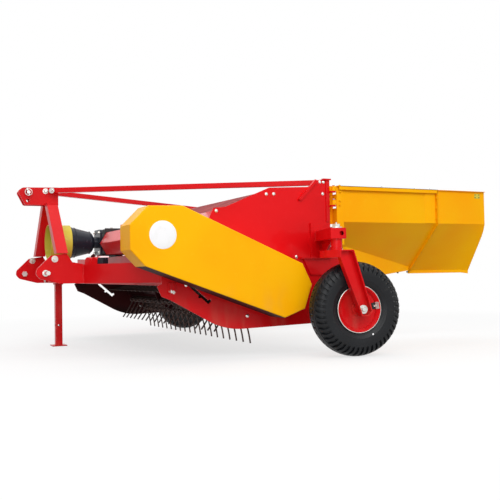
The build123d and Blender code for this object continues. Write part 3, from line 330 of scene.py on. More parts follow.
# Mesh helpers: pieces are gathered in a bmesh and then become one object
def finishPiece(work, name, finish, body="frame", replaced=(), smoothAngle=35.0, outward=False):
    if outward:
        bmesh.ops.recalc_face_normals(work, faces=work.faces)
    mesh = bpy.data.meshes.new(name)
    work.normal_update()
    work.to_mesh(mesh)
    work.free()
    mesh.materials.append(finish.material)
    for face in mesh.polygons:
        face.use_smooth = True
    mesh.set_sharp_from_angle(angle=math.radians(smoothAngle))
    piece = bpy.data.objects.new(name, mesh)
    bpy.context.scene.collection.objects.link(piece)
    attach(piece, body)
    if replaced:
        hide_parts(*replaced)


def angles(count):
    return [math.tau * k / count for k in range(count)]


def oblong(x0, y0, x1, y1):
    return [(x0, y0), (x1, y0), (x1, y1), (x0, y1)]


def standing(place, direction):
    # a frame whose local Z points along direction
    return Matrix.Translation(place) @ Vector(direction).to_track_quat("Z", "Y").to_matrix().to_4x4()


def framed(place, first, second, third):
    # a frame whose local X, Y and Z point along the three directions
    return Matrix.Translation(place) @ Matrix((first, second, third)).transposed().to_4x4()


def bridged(work, rings, closed=False, capped=True):
    # walls from ring to ring, with the ends capped unless the last ring meets the first
    for lower, upper in zip(rings, rings[1:] + rings[:1] if closed else rings[1:]):
        for k in range(len(lower)):
            n = (k + 1) % len(lower)
            work.faces.new((lower[k], lower[n], upper[n], upper[k]))
    if capped and not closed:
        work.faces.new(rings[0][::-1])
        work.faces.new(rings[-1])


def spun(work, profile, segments, matrix, closed=False):
    # profile of radius and height, turned about local Z
    rings = [[work.verts.new(matrix @ Vector((radius * math.cos(turn), radius * math.sin(turn), height)))
              for turn in angles(segments)] for radius, height in profile]
    bridged(work, rings, closed)


def swept(work, points, radius, segments, closed=False):
    # round wire along the points; radius is one number or one for each point
    count = len(points)
    radii = radius if isinstance(radius, list) else [radius] * count
    rings = []
    side = None
    for k, point in enumerate(points):
        before = points[k - 1] if (k or closed) else point
        after = points[(k + 1) % count] if (k < count - 1 or closed) else point
        ahead = (after - before).normalized()
        if side is None:
            side = ahead.orthogonal().normalized()
        side = (side - ahead * side.dot(ahead)).normalized()
        across = ahead.cross(side)
        rings.append([work.verts.new(point + radii[k] * (side * math.cos(turn) + across * math.sin(turn)))
                      for turn in angles(segments)])
    bridged(work, rings, closed)


def slab(work, corners, thickness, matrix, chamfer=0.0008):
    # flat plate: corners in local X and Y, thickness up local Z, with its top edge chamfered
    middle = sum((Vector(c) for c in corners), Vector((0, 0))) / len(corners)
    mitre = 1.4  # a corner moves in by more than its sides
    rings = []
    for height, inset in ((0.0, 0.0), (thickness - chamfer, 0.0), (thickness, chamfer)):
        ring = []
        for corner in corners:
            inward = (middle - Vector(corner)).normalized() * inset * mitre
            ring.append(work.verts.new(matrix @ Vector((corner[0] + inward.x, corner[1] + inward.y, height))))
        rings.append(ring)
    bridged(work, rings)


beadLook = {"radius": 0.0032, "step": 0.0042, "sides": 6, "ripples": ((0.16, 2.1), (0.06, 0.7))}


def weldBead(work, corners, radius=beadLook["radius"], closed=False):
    # rippled bead along straight runs between the corners
    points = []
    for start, end in zip(corners, corners[1:] + corners[:1] if closed else corners[1:]):
        steps = max(1, round((end - start).length / beadLook["step"]))
        points += [start.lerp(end, step / steps) for step in range(steps)]
    if not closed:
        points.append(corners[-1])
    radii = [radius * sum((rise * math.sin(rate * k) for rise, rate in beadLook["ripples"]), 1.0)
             for k in range(len(points))]
    swept(work, points, radii, beadLook["sides"], closed)


def sheet(work, grid, thick, sign):
    # thick sheet through rows of places behind the studs, given for the right side and mirrored by sign
    outer, inner = [[[work.verts.new(at(x + dx, (y + dy) * sign, z + dz)) for x, y, z in row] for row in grid]
                    for dx, dy, dz in (Vector(), Vector(thick))]
    last, end = len(grid) - 1, len(grid[0]) - 1
    for i in range(last):
        for j in range(end):
            work.faces.new((outer[i][j], outer[i][j + 1], outer[i + 1][j + 1], outer[i + 1][j]))
            work.faces.new((inner[i][j], inner[i + 1][j], inner[i + 1][j + 1], inner[i][j + 1]))
    rim = [(0, j) for j in range(end)] + [(i, end) for i in range(last)]
    rim += [(last, j) for j in range(end, 0, -1)] + [(i, 0) for i in range(last, 0, -1)]
    for (a, b), (c, d) in zip(rim, rim[1:] + rim[:1]):
        work.faces.new((outer[a][b], inner[a][b], inner[c][d], outer[c][d]))


def greaseNipple(work, place, direction):
    profile = [(0.0045, -0.001), (0.0045, 0.003), (0.0030, 0.0035), (0.0030, 0.0060), (0.0038, 0.0070),
               (0.0030, 0.0095), (0.0012, 0.0100)]
    spun(work, profile, 10, standing(place, direction))


def hexHead(work, place, direction, acrossFlats, height=None, washer=True, turn=0.0, stub=0.0):
    # bolt head or nut with chamfered corners on its washer; stub is the thread that stands out of a nut
    matrix = standing(place, direction) @ Matrix.Rotation(turn, 4, "Z")
    corner = acrossFlats / math.sqrt(3)
    height = height or 0.62 * acrossFlats
    base = 0.0
    if washer:
        base = 0.12 * acrossFlats
        wide = 0.94 * acrossFlats
        spun(work, [(wide * 0.97, -0.001), (wide, 0.0005), (wide, base - 0.0004), (wide * 0.97, base)], 24,
             matrix)
    profile = [(corner, base), (corner, base + 0.8 * height), (corner * 0.86, base + height)]
    spun(work, profile, 6, matrix)
    dish = corner * 0.80
    spun(work, [(dish, base + height), (dish * 0.96, base + height + 0.0006)], 18, matrix)
    if stub:
        thread = acrossFlats * 0.32
        spun(work, [(thread, base + height - 0.001), (thread, base + height + stub - 0.0012),
                    (thread * 0.82, base + height + stub)], 16, matrix)


def roundHead(work, place, direction, radius, height=0.45):
    # low domed head of a coach bolt or rivet
    rise = height * radius
    profile = [(radius * math.cos(a), rise * math.sin(a)) for a in (0.0, 0.35, 0.75, 1.15, 1.45)]
    spun(work, [(radius, -0.001)] + profile, 20, standing(place, direction))


print("helpers ready")


# What turns with the castors: the wheel's centre, the way out from the machine, and a spoke's direction
def wheelFrame(side):
    centre = pivot("wheel_" + side + "_spin")
    spindle = pivot("castor_" + side + "_swivel")
    trail = Vector((centre.x - spindle.x, centre.y - spindle.y, 0)).normalized()

    def spoke(turn):
        return trail * math.cos(turn) + Vector((0, 0, math.sin(turn)))

    return centre, Vector((-trail.y, trail.x, 0)) * sides[side], spoke


# Tyres: rounded walls, close lugs over both shoulders and a ribbed crown
tyreLook = {"lugs": 48, "grooveDepth": 0.0100, "crownDepth": 0.0070, "slant": 0.55, "half": 0.0705,
            "shoulder": 0.0365, "shoulderEnd": 0.192, "fade": 0.010, "wallTilt": 1.2, "outerGroove": 0.0325,
            "innerGroove": (0.0130, 0.0170), "sipe": (0.10, 0.30), "notch": 0.78, "notchDepth": 0.6,
            "middleRib": 0.004, "dotAngle": -62, "dotAt": (0.0660, 0.1440), "dotRadius": 0.0045}
tyreSection = [  # out from the middle, radius: from one bead over the crown to the other
    (0.0500, 0.1145), (0.0535, 0.1215), (0.0562, 0.1262), (0.0602, 0.1302), (0.0640, 0.1400),
    (0.0668, 0.1478), (0.0680, 0.1490), (0.0682, 0.1520), (0.0690, 0.1580), (0.0703, 0.1680),
    (0.0705, 0.1780), (0.0700, 0.1880), (0.0686, 0.1970), (0.0664, 0.2050), (0.0630, 0.2130),
    (0.0584, 0.2200), (0.0524, 0.2258), (0.0452, 0.2302), (0.0375, 0.2334), (0.0364, 0.2338),
    (0.0330, 0.2348), (0.0320, 0.2350), (0.0250, 0.2369), (0.0175, 0.2384), (0.0168, 0.2385),
    (0.0135, 0.2389), (0.0128, 0.2390), (0.0060, 0.2396)]
tyreLiner = [(0.0410, 0.1145), (0.0580, 0.1560), (0.0560, 0.1880), (0.0430, 0.2100)]
# share of a pitch, and how deep the shoulder is cut there
lugShares = [(0.00, 1.0), (0.05, 0.0), (0.30, 0.0), (0.54, 0.0), (0.59, 1.0), (0.80, 1.0)]


def tyreDepth(across, radius, share, groove):
    # how deep the tread is cut at one place: open shoulders, two grooves, sipes and notches
    low, high = tyreLook["innerGroove"]
    if across >= tyreLook["shoulder"]:
        fade = min(1.0, max(0.0, (radius - tyreLook["shoulderEnd"]) / tyreLook["fade"]))
        return tyreLook["grooveDepth"] * groove * fade
    if across >= tyreLook["outerGroove"] or low <= across < high:
        return tyreLook["crownDepth"]
    if across > high:
        start, end = tyreLook["sipe"]
        return tyreLook["crownDepth"] if start <= (share + 0.5) % 1.0 <= end else 0.0
    if share >= tyreLook["notch"] and across > tyreLook["middleRib"]:
        return tyreLook["crownDepth"] * tyreLook["notchDepth"]
    return 0.0


def makeTyre(side):
    centre, out, spoke = wheelFrame(side)
    work = bmesh.new()
    tread = tyreSection + [(-a, r) for a, r in reversed(tyreSection)]
    liner = [(-a, r) for a, r in tyreLiner] + tyreLiner[::-1]
    pitch = math.tau / tyreLook["lugs"]
    tilt = tyreLook["wallTilt"]
    rings = []
    for lug in range(tyreLook["lugs"]):
        for share, groove in lugShares:
            ring = []
            for number, (across, radius) in enumerate(tread + liner):
                turn, r, y = (lug + share) * pitch, radius, across
                if number < len(tread):
                    wall = (abs(across) - tyreLook["shoulder"]) / (tyreLook["half"] - tyreLook["shoulder"])
                    wall = max(0.0, wall)
                    depth = tyreDepth(abs(across), radius, share, groove)
                    turn += math.copysign(tyreLook["slant"] * pitch * wall, across)
                    r -= depth * math.cos(wall * tilt)
                    y -= math.copysign(depth * math.sin(wall * tilt), across)
                ring.append(work.verts.new(centre + out * y + spoke(turn) * r))
            rings.append(ring)
    bridged(work, rings, closed=True)
    finishPiece(work, "tyreTread_" + side, tyreRubber, "wheel_" + side, ("tyre_" + side,), 28.0, outward=True)

    work = bmesh.new()
    across = spoke(math.radians(tyreLook["dotAngle"]))
    offset, radius = tyreLook["dotAt"]
    roundHead(work, centre + out * offset + across * radius, out - across * 0.3, tyreLook["dotRadius"], 0.12)
    finishPiece(work, "balanceDot_" + side, whiteVinyl, "wheel_" + side)


for side in sides:
    makeTyre(side)
print("tyres done")


# Wheels: rolled edges with bright metal rings as a painted highlight, valve with a black plate in its slot as
# painted shade, axle bolt, and the grease nipple on the castor's spindle
wheelLook = {"edgeRadius": 0.0024, "flange": 0.0570, "flangeRadius": 0.1178, "axleFlats": 0.022,
             "washer": 0.0225, "web": 0.0860, "spacer": 0.0125, "spacerRadius": 0.0185, "slotAngle": 0.15,
             "plateAt": (0.1042, 0.0512), "slotAt": (0.0875, 0.0372), "valveAt": (0.0900, 0.0400)}
plateOutline = [(-0.0100, -0.018), (0.0085, -0.016), (0.0085, 0.016), (-0.0100, 0.018)]
slotOutline = [(-0.0100, -0.016), (0.0095, -0.017), (0.0095, 0.017), (-0.0100, 0.016)]
valveProfile = [(0.0048, 0.0), (0.0048, 0.006), (0.0036, 0.007), (0.0036, 0.013), (0.0042, 0.014),
                (0.0042, 0.020), (0.0030, 0.022)]


def makeWheel(side):
    centre, out, spoke = wheelFrame(side)
    work = bmesh.new()
    # bright metal rings on the rolled edges: a painted highlight
    for offset in (wheelLook["flange"], -wheelLook["flange"]):
        ring = [centre + out * offset + spoke(turn) * wheelLook["flangeRadius"] for turn in angles(96)]
        swept(work, ring, wheelLook["edgeRadius"], 8, closed=True)
    finishPiece(work, "rimEdgePaintedHighlight_" + side, zinc, "wheel_" + side)

    slotMiddle = spoke(wheelLook["slotAngle"])
    across = out.cross(slotMiddle)

    def spot(name):
        radius, offset = wheelLook[name]
        return centre + out * offset + slotMiddle * radius

    work = bmesh.new()
    slope = (slotMiddle * 0.759 + out * 0.651).normalized()  # along the rim's inner wall
    slab(work, plateOutline, 0.0045, framed(spot("plateAt"), slope, across, slope.cross(across)))
    spun(work, valveProfile, 14, standing(spot("valveAt"), out - slotMiddle * 0.35))
    finishPiece(work, "valvePlate_" + side, zinc, "wheel_" + side)
    # a black plate stands in for the opening of the valve's slot: painted shade
    work = bmesh.new()
    slab(work, slotOutline, 0.0042, framed(spot("slotAt"), slotMiddle, across, out))
    finishPiece(work, "valveSlotPaintedShade_" + side, blackIron, "wheel_" + side)

    work = bmesh.new()
    spun(work, [(wheelLook["spacerRadius"], -0.002), (wheelLook["spacerRadius"], wheelLook["spacer"])], 28,
         standing(centre + out * wheelLook["web"], out))
    axleEnd = centre + out * (wheelLook["web"] + wheelLook["spacer"])
    washer = wheelLook["washer"]
    spun(work, [(washer, -0.001), (washer, 0.0030), (washer - 0.001, 0.0038), (0.014, 0.0038)], 32,
         standing(axleEnd, out))
    hexHead(work, axleEnd + out * 0.0036, out, wheelLook["axleFlats"], height=0.0085, washer=False, turn=0.35)
    spindle = pivot("castor_" + side + "_swivel")
    spindle.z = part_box("castor_arm_" + side)[1].z - 0.0005
    greaseNipple(work, spindle, (0, 0, 1))
    finishPiece(work, "axleBolt_" + side, zinc, "castor_" + side)


for side in sides:
    makeWheel(side)
print("wheels done")


# Spring tines: each a coil clipped under its bar and a leg that trails behind
tineLook = {"wire": 0.0045, "coilRadius": 0.0105, "turns": 2.55, "pitch": 0.0094, "perTurn": 12, "sides": 7,
            "rows": 8, "perRow": 20, "spacing": 0.087, "bar": 0.026, "barChamfer": 0.003, "barRadius": 0.128,
            "tipRadius": 0.282, "trail": 19.5, "rest": 6.5, "coilSeat": 0.013, "coilSide": 0.010,
            "legShift": 0.004, "legBow": 0.004, "legPoints": 6, "clipSide": 0.016, "clipFlats": 0.013}


def makeTines():
    tine = tineLook
    rotorAt = pivot("rotor_spin")
    low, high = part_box("tine_bars")
    halfLength = (high.y - low.y) / 2
    half, chamfer = tine["bar"] / 2, tine["barChamfer"]
    cut = half - chamfer
    outline = [(-half, -cut), (-cut, -half), (cut, -half), (half, -cut), (half, cut), (cut, half),
               (-cut, half), (-half, cut)]
    root = tine["barRadius"] + half
    trail = math.radians(tine["trail"])
    length = (tine["tipRadius"] - root) / math.cos(trail)
    drop = (tine["coilSeat"] - tine["coilRadius"] * math.sin(trail)) / math.cos(trail)
    work = bmesh.new()
    for row in range(tine["rows"]):
        turned = (Matrix.Translation(rotorAt) @ Matrix.Rotation(math.radians(tine["rest"]), 4, "Y")
                  @ Matrix.Rotation(math.tau * row / tine["rows"], 4, "Y"))
        bridged(work, [[work.verts.new(turned @ Vector((x, y, z - tine["barRadius"]))) for x, z in outline]
                       for y in (-halfLength, halfLength)])
        for k in range(tine["perRow"]):
            y = (k - (tine["perRow"] - 1) / 2) * tine["spacing"]
            tilt = turned @ Matrix.Translation((0, y, -root)) @ Matrix.Rotation(-trail, 4, "Y")
            points = []
            for step in range(round(tine["turns"] * tine["perTurn"]) + 1):
                a = math.tau * (step / tine["perTurn"] - tine["turns"])
                points.append(tilt @ Vector((tine["coilRadius"] * (math.cos(a) - 1),
                                             tine["pitch"] * a / math.tau + tine["coilSide"],
                                             -drop - tine["coilRadius"] * math.sin(a))))
            for step in range(1, tine["legPoints"] + 1):
                share = step / tine["legPoints"]
                bow = tine["legBow"] * math.sin(math.pi * share)
                points.append(tilt @ Vector((bow, tine["coilSide"] - tine["legShift"] * share,
                                             -drop - (length - drop) * share)))
            swept(work, points, tine["wire"], tine["sides"])
            clip = turned @ Vector((half, y - tine["clipSide"], -tine["barRadius"]))
            hexHead(work, clip, turned.to_3x3() @ Vector((1, 0, 0)), tine["clipFlats"], washer=False)
    finishPiece(work, "springTines", tineSteel, "rotor", ("tine_bars",), 40.0, outward=True)


makeTines()
print("tines done")


# Input shaft with its six splines and locking groove
shaftLook = {"outer": 0.01745, "root": 0.0149, "journal": 0.020, "splineEnd": 0.338, "front": 0.262,
             "splines": 6, "groove": 0.0004}


def makeInputShaft():
    axis = pivot("pto_spin")
    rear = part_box("pto_input_shaft")[1].x
    front, splineEnd = studX + shaftLook["front"], studX + shaftLook["splineEnd"]
    work = bmesh.new()

    def ring(x, outer, root):
        made = []
        for tooth in range(shaftLook["splines"]):
            for share, radius in ((-0.26, root), (-0.20, outer), (0.0, outer), (0.20, outer), (0.26, root),
                                  (0.5, root)):
                a = math.tau * (tooth + share) / shaftLook["splines"]
                made.append(work.verts.new((x, axis.y + radius * math.cos(a), axis.z + radius * math.sin(a))))
        return made

    outer, root, journal = shaftLook["outer"], shaftLook["root"], shaftLook["journal"]
    groove = root - shaftLook["groove"]
    rings = [ring(x, high, low) for x, high, low in (
        (front, outer - 0.003, root - 0.001), (front + 0.003, outer, root), (front + 0.026, outer, root),
        (front + 0.029, root, groove), (front + 0.036, root, groove), (front + 0.039, outer, root),
        (splineEnd - 0.004, outer, root), (splineEnd, journal, journal), (rear, journal, journal))]
    bridged(work, rings, capped=False)
    work.faces.new(rings[0])
    work.faces.new(rings[-1][::-1])
    finishPiece(work, "inputShaftSplines", machined, "pto_shaft", ("pto_input_shaft",), outward=True)


makeInputShaft()
print("input shaft done")


# Ridges on the black guard, and the gearbox's covers on both sides and on top
guardLook = {"ridges": ((0.204, 0.0915), (0.228, 0.0856), (0.318, 0.0640)), "rise": 0.0028,
             "halfWidth": 0.003, "coverEdge": ((0.392, 0.706), (0.386, 0.640), (0.392, 0.548)),
             "coverRear": 0.519, "coverY": 0.0905, "coverThick": 0.0065, "topX": (0.4085, 0.512),
             "topY": 0.060, "topZ": 0.7000, "topThick": 0.005}
work = bmesh.new()
shaftAt = pivot("pto_spin")
toFront = standing(Vector((studX, shaftAt.y, shaftAt.z)), (1, 0, 0))
half, rise = guardLook["halfWidth"], guardLook["rise"]
for x, radius in guardLook["ridges"]:
    spun(work, [(radius - 0.002, x - half), (radius + rise, x - half * 0.5), (radius + rise, x + half * 0.5),
                (radius - 0.002, x + half)], 72, toFront, closed=True)
finishPiece(work, "guardRidges", blackPlastic, outward=True)
work = bmesh.new()
for sign in sides.values():
    sheet(work, [[(x, guardLook["coverY"], z) for x in (front, guardLook["coverRear"])]
                 for front, z in guardLook["coverEdge"]], (0, -guardLook["coverThick"], 0), sign)
sheet(work, [[(x, y, guardLook["topZ"]) for y in (-guardLook["topY"], guardLook["topY"])]
             for x in guardLook["topX"]], (0, 0, guardLook["topThick"]), 1.0)
finishPiece(work, "gearboxCovers", blackIron, outward=True)
print("guard done")


# Fasteners on the frame: x behind the studs, y to the right, z up, direction, width over flats
frontBolts = [
    (0.049, -0.346, 0.522, (0, -1, 0), 0.019), (0.048, 0.346, 0.527, (0, 1, 0), 0.019),
    (0.049, -0.334, 0.522, (0, 1, 0), 0.019), (0.048, 0.334, 0.527, (0, -1, 0), 0.019),
    (0.062, -0.035, 0.9185, (0, -1, 0), 0.017), (0.062, 0.035, 0.9185, (0, 1, 0), 0.017),
    (0.0890, -0.0782, 0.9185, (-0.534, -0.845, 0), 0.017),
    (0.0890, 0.0782, 0.9185, (-0.534, 0.845, 0), 0.017),
]
gearboxBolts = [(x, -0.093, z, (0, -1, 0), 0.012)
                for x, z in ((0.420, 0.674), (0.420, 0.571), (0.494, 0.571), (0.494, 0.674))]
gearboxBolts += [(0.3665, y, z, (-1, 0, 0), 0.011) for z in (0.683, 0.567) for y in (-0.056, 0.056)]
gearboxBolts += [(0.440, -0.050, 0.700, (0, 0, 1), 0.017), (0.480, 0.040, 0.700, (0, 0, 1), 0.017)]
panelRivets = [  # x, z on a side panel's outer face: round heads
    (1.039, 0.843), (1.083, 0.845), (1.386, 0.855), (1.369, 0.9195), (1.392, 0.9195)]
lowRivets = [(0.751, 0.749), (0.916, 0.209), (1.214, 0.512), (0.581, 0.376)]


panelLook = {"outer": 0.900, "inner": 0.894, "rivet": 0.0098, "bearingAt": (0.952, 0.345), "bearingY": 0.914,
             "bearingBolts": (-0.040, 0.040), "nippleY": 0.925, "nippleZ": 0.3868, "slotBoltY": 0.906,
             "slotBolts": ((0.497, 0.345), (0.515, 0.341))}


def makeBolts(name, places, body="frame", finish=zinc):
    work = bmesh.new()
    for number, (x, y, z, direction, flats) in enumerate(places):
        hexHead(work, at(x, y, z), direction, flats, turn=0.7 * number)
    finishPiece(work, name, finish, body)


makeBolts("hitchBolts", frontBolts)
makeBolts("gearboxBolts", gearboxBolts)
for side, sign in sides.items():
    outward = (0, sign, 0)
    middleX, middleZ = panelLook["bearingAt"]
    places = [(x, sign * panelLook["inner"], z, (0, -sign, 0), 0.015)
              for x, z in panelRivets[:2] + lowRivets[:2]]
    places += [(x, sign * panelLook["slotBoltY"], z, outward, 0.010) for x, z in panelLook["slotBolts"]]
    places += [(middleX + dx, sign * panelLook["bearingY"], middleZ + dz, outward, 0.013)
               for dx in panelLook["bearingBolts"] for dz in panelLook["bearingBolts"]]
    makeBolts("panelBolts_" + side, places)
    work = bmesh.new()
    for x, z in panelRivets + lowRivets:
        roundHead(work, at(x, sign * panelLook["outer"], z), outward, panelLook["rivet"], 0.55)
    greaseNipple(work, at(middleX, sign * panelLook["nippleY"], panelLook["nippleZ"]), (0, 0, 1))
    finishPiece(work, "panelRivets_" + side, zinc)
print("frame bolts done")


# Doors: bolts and hinge pins, edges of the main sheet, the extension, and the blank plate
doorLook = {
    "outer": 0.910, "joint": 2.160, "endX": 2.534, "topZ": 0.900, "creaseZ": 0.702, "bottomZ": 0.428,
    "sheet": 0.003, "leanJoint": 0.280, "leanEnd": 0.170, "hem": 0.019, "rim": 0.012, "turnedOut": 0.013,
    "jointStart": 0.0004, "lastColumn": 0.036, "columns": 6, "rows": 8,
    "lipFront": 1.476, "lipOut": 0.018, "lipHeight": 0.022,
    "strip": ((-0.082, 0.0004), (-0.076, 0.0042), (-0.010, 0.0042)),  # from the joint, out from the sheet
    "flangeStart": (1.490, 0.907, 0.698), "flangeRun": (0.125, -0.131, -0.128),
    "flangeFoot": (1.615, 0.776, 0.490), "flangeShares": (0.42, 0.62, 0.82, 1.0),
    "flangeWidths": (0.004, 0.026, 0.030, 0.028, 0.004),
    "pinAt": (1.449, 0.912), "pinTops": (0.6198, 0.8253, 0.9023),
    "hingeBoltX": 1.486, "hingeBoltZ": (0.8960, 0.8690, 0.8190, 0.7960, 0.6150, 0.5890),
    "jointBoltZ": (0.730, 0.790, 0.850), "topBoltX": (1.764, 2.000, 2.101), "topBoltY": 0.919,
    "skirtX": (1.604, 2.147), "skirtY": (0.775, -0.1205), "skirtZ": (0.372, 0.056), "skirtBoltX": 2.047,
    "lastBolt": (2.150, 0.6365, 0.4215), "plateAt": (2.478, 0.872), "plateHalf": (0.021, 0.014),
    "plateRivets": (0.015, 0.008)}


def makeDoorBolts(side, sign):
    door = doorLook
    y = sign * door["outer"]
    places = [(door["hingeBoltX"], y + sign * 0.004, z, (0, sign, 0), 0.011) for z in door["hingeBoltZ"]]
    places += [(door["joint"] + dx, y + sign * 0.010, z, (math.copysign(1, dx), 0, 0), 0.008)
               for z in door["jointBoltZ"] for dx in (-0.003, 0.003)]
    makeBolts("hingeBolts_" + side, places, "deflector_" + side, yellowPaint)
    places = [(x, sign * door["topBoltY"], door["topZ"], (0, 0, 1), 0.010) for x in door["topBoltX"]]
    makeBolts("doorBolts_" + side, places, "deflector_" + side)
    work = bmesh.new()
    x, y = door["pinAt"]
    for z in door["pinTops"]:
        roundHead(work, at(x, sign * y, z), (0, 0, 1), 0.0085, 0.4)
    finishPiece(work, "hingePins_" + side, zinc)


def makeDoorEdges(side, sign):
    # a lip turned down along the top, a strip in front of the joint, and a flange turned forward
    door = doorLook
    out, top, joint, thick = door["outer"], door["topZ"], door["joint"], door["sheet"]
    lip = out + door["lipOut"]
    work = bmesh.new()
    sheet(work, [[(x, lip, z) for x in (door["lipFront"], joint)] for z in (top, top - door["lipHeight"])],
          (0, -thick, 0), sign)
    sheet(work, [[(joint + dx, out + dy, z) for dx, dy in door["strip"]]
                 for z in (top - 0.004, door["creaseZ"])], (0, -0.004, 0), sign)
    front = [tuple(start + run * share for start, run in zip(door["flangeStart"], door["flangeRun"]))
             for share in door["flangeShares"]] + [door["flangeFoot"]]
    sheet(work, [[(x - width, y, z) for (x, y, z), width in zip(front, door["flangeWidths"])], front],
          (0, -thick, 0), sign)
    finishPiece(work, "doorEdges_" + side, yellowPaint, "deflector_" + side, outward=True)


def makeExtension(side, sign):
    # upright sheet, leaning sheet with its rear edge turned out, flanges above, in front and below
    door = doorLook
    out, top, joint, thick = door["outer"], door["topZ"], door["joint"], door["sheet"]
    crease, bottom, end = door["creaseZ"], door["bottomZ"], door["endX"]
    columns = [joint + door["jointStart"] + (end - door["lastColumn"] - joint) * k / door["columns"]
               for k in range(door["columns"] + 1)] + [end]
    work = bmesh.new()
    sheet(work, [[(x, out, z) for x in columns] for z in (top, top - 0.1, crease)], (0, -thick, 0), sign)
    rows = []
    for k in range(door["rows"] + 1):
        share = k / door["rows"]
        row = []
        for x in columns:
            lean = door["leanJoint"] + (door["leanEnd"] - door["leanJoint"]) * (x - joint) / (end - joint)
            edge = door["turnedOut"] * min(1.0, share * 6) if x == end else 0.0
            row.append((x, out - lean * share + edge, crease + (bottom - crease) * share - edge * 0.5))
        rows.append(row)
    sheet(work, rows, (0, -thick, thick * 0.6), sign)
    sheet(work, [[(x, y, z), (x, y, z - door["hem"])] for x, y, z in rows[-1]], (0, -thick, 0), sign)
    sheet(work, [[(x, y, top) for x in (joint, end)] for y in (out - thick, out + door["rim"])],
          (0, 0, -thick), sign)
    low = out - door["leanJoint"]
    sheet(work, [[(joint, out - thick, top), (joint, out + door["lipOut"], top)],
                 [(joint, out - thick, crease), (joint, out + door["lipOut"], crease - 0.008)],
                 [(joint, low, bottom), (joint, low + 0.0126, bottom - 0.0129)]], (thick, 0, 0), sign)
    finishPiece(work, "extensionSheet_" + side, yellowPaint, "deflector_" + side, ("door_extension_" + side,),
                outward=True)


def makeDoorPlate(side, sign):
    # blank plate near the extension's upper rear corner, and dark bolts under the joint and the skirt
    door = doorLook
    y = sign * door["outer"]
    x, z = door["plateAt"]
    width, height = door["plateHalf"]
    work = bmesh.new()
    slab(work, oblong(-width, -height, width, height), 0.0010,
         framed(at(x, y, z), (1, 0, 0), (0, 0, 1), (0, sign, 0)), 0.0003)
    finishPiece(work, "blankPlate_" + side, olivePlastic, "deflector_" + side, outward=True)
    work = bmesh.new()
    aside, above = door["plateRivets"]
    for dz in (-above, above):
        for dx in (-aside, aside):
            roundHead(work, at(x + dx, y + sign * 0.001, z + dz), (0, sign, 0), 0.0036)
    first, last = door["skirtX"]
    share = (door["skirtBoltX"] - first) / (last - first)
    skirtY, skirtZ = (start + run * share for start, run in (door["skirtY"], door["skirtZ"]))
    for place in (Vector((door["skirtBoltX"], skirtY, skirtZ)), Vector(door["lastBolt"])):
        hexHead(work, at(place.x, sign * place.y, place.z + 0.001), (0, 0, -1), 0.011, washer=False)
    finishPiece(work, "doorRivets_" + side, blackIron, "deflector_" + side)


for side, sign in sides.items():
    for makePart in (makeDoorBolts, makeDoorEdges, makeExtension, makeDoorPlate):
        makePart(side, sign)
print("doors done")


# Blank round label on the belt case
labelLook = {"x": 0.409, "z": 0.6165, "radius": 0.067, "thickness": 0.0006}
work = bmesh.new()
radius, thick = labelLook["radius"], labelLook["thickness"]
labelPlace = at(labelLook["x"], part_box("belt_case")[0].y, labelLook["z"])
spun(work, [(radius, -0.0004), (radius, thick * 0.6), (radius - 0.0006, thick), (radius * 0.5, thick),
            (0.004, thick)], 72, standing(labelPlace, (0, -1, 0)))
finishPiece(work, "blankLabel", whiteVinyl)


# Linch pin and its ring on the top pin, pull pin and its ring on the stand's socket
pinLook = {"ringRadius": 0.019, "ringWire": 0.0021, "pinRadius": 0.0042, "standUp": 0.045, "standOut": 0.055,
           "handleRadius": 0.016, "handleWire": 0.0022}


def linchPin(work, place, along, hang):
    # straight pin across the big pin's end, with a sprung ring folded round it
    side = along.cross(hang).normalized()
    spun(work, [(0.002, -0.022), (pinLook["pinRadius"], -0.020), (pinLook["pinRadius"], 0.012),
                (0.0068, 0.013), (0.0068, 0.021), (0.004, 0.024)], 16, standing(place, -hang))
    middle = place + along * 0.004
    ring = [middle + (side * math.cos(a) + hang * math.sin(a)) * pinLook["ringRadius"]
            + along * 0.003 * math.sin(a) for a in angles(40)]
    swept(work, ring, pinLook["ringWire"], 8, closed=True)


work = bmesh.new()
pinLow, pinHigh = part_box("top_link_pin")
topPin = (pinLow + pinHigh) / 2
linchPin(work, Vector((topPin.x, pinLow.y + 0.008, topPin.z)), Vector((0, -1, 0)),
         Vector((0.35, 0, -0.94)).normalized())
finishPiece(work, "topPinRing", zinc)

work = bmesh.new()
socketLow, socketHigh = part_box("stand_socket")
socketMid = (socketLow + socketHigh) / 2
pinZ = socketLow.z + pinLook["standUp"]
spun(work, [(0.0055, -0.030), (0.0062, -0.028), (0.0062, 0.060), (0.0050, 0.062)], 18,
     standing(Vector((socketLow.x, socketMid.y, pinZ)), (-1, 0, 0)))
grip = pinLook["handleRadius"]
handle = [Vector((socketLow.x - pinLook["standOut"], socketMid.y, pinZ))
          + Vector((0, math.sin(a) * grip, -grip + math.cos(a) * grip)) for a in angles(36)]
swept(work, handle, pinLook["handleWire"], 8, closed=True)
finishPiece(work, "standPin", zinc)
print("pins done")


# Two cast clamps and a rubber block on the near main beam, in front of the gearbox
clampLook = {"radius": 0.022, "width": 0.034, "rise": 0.016, "half": 0.024, "foot": 0.012,
             "start": (0.206, -0.345), "runs": (0.020, 0.072), "aside": 0.024, "blockRun": 0.125,
             "blockHalf": (0.022, 0.018), "blockHeight": 0.034}
beamRun = Vector((0.455 - 0.200, -0.870 + 0.345, 0)).normalized()  # between the beam's two ends
beamAcross = Vector((-beamRun.y, beamRun.x, 0))
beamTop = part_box("main_beam_left")[1].z


def onBeam(run):
    foot = at(*clampLook["start"], 0) + beamRun * run + beamAcross * clampLook["aside"]
    foot.z = beamTop
    return foot


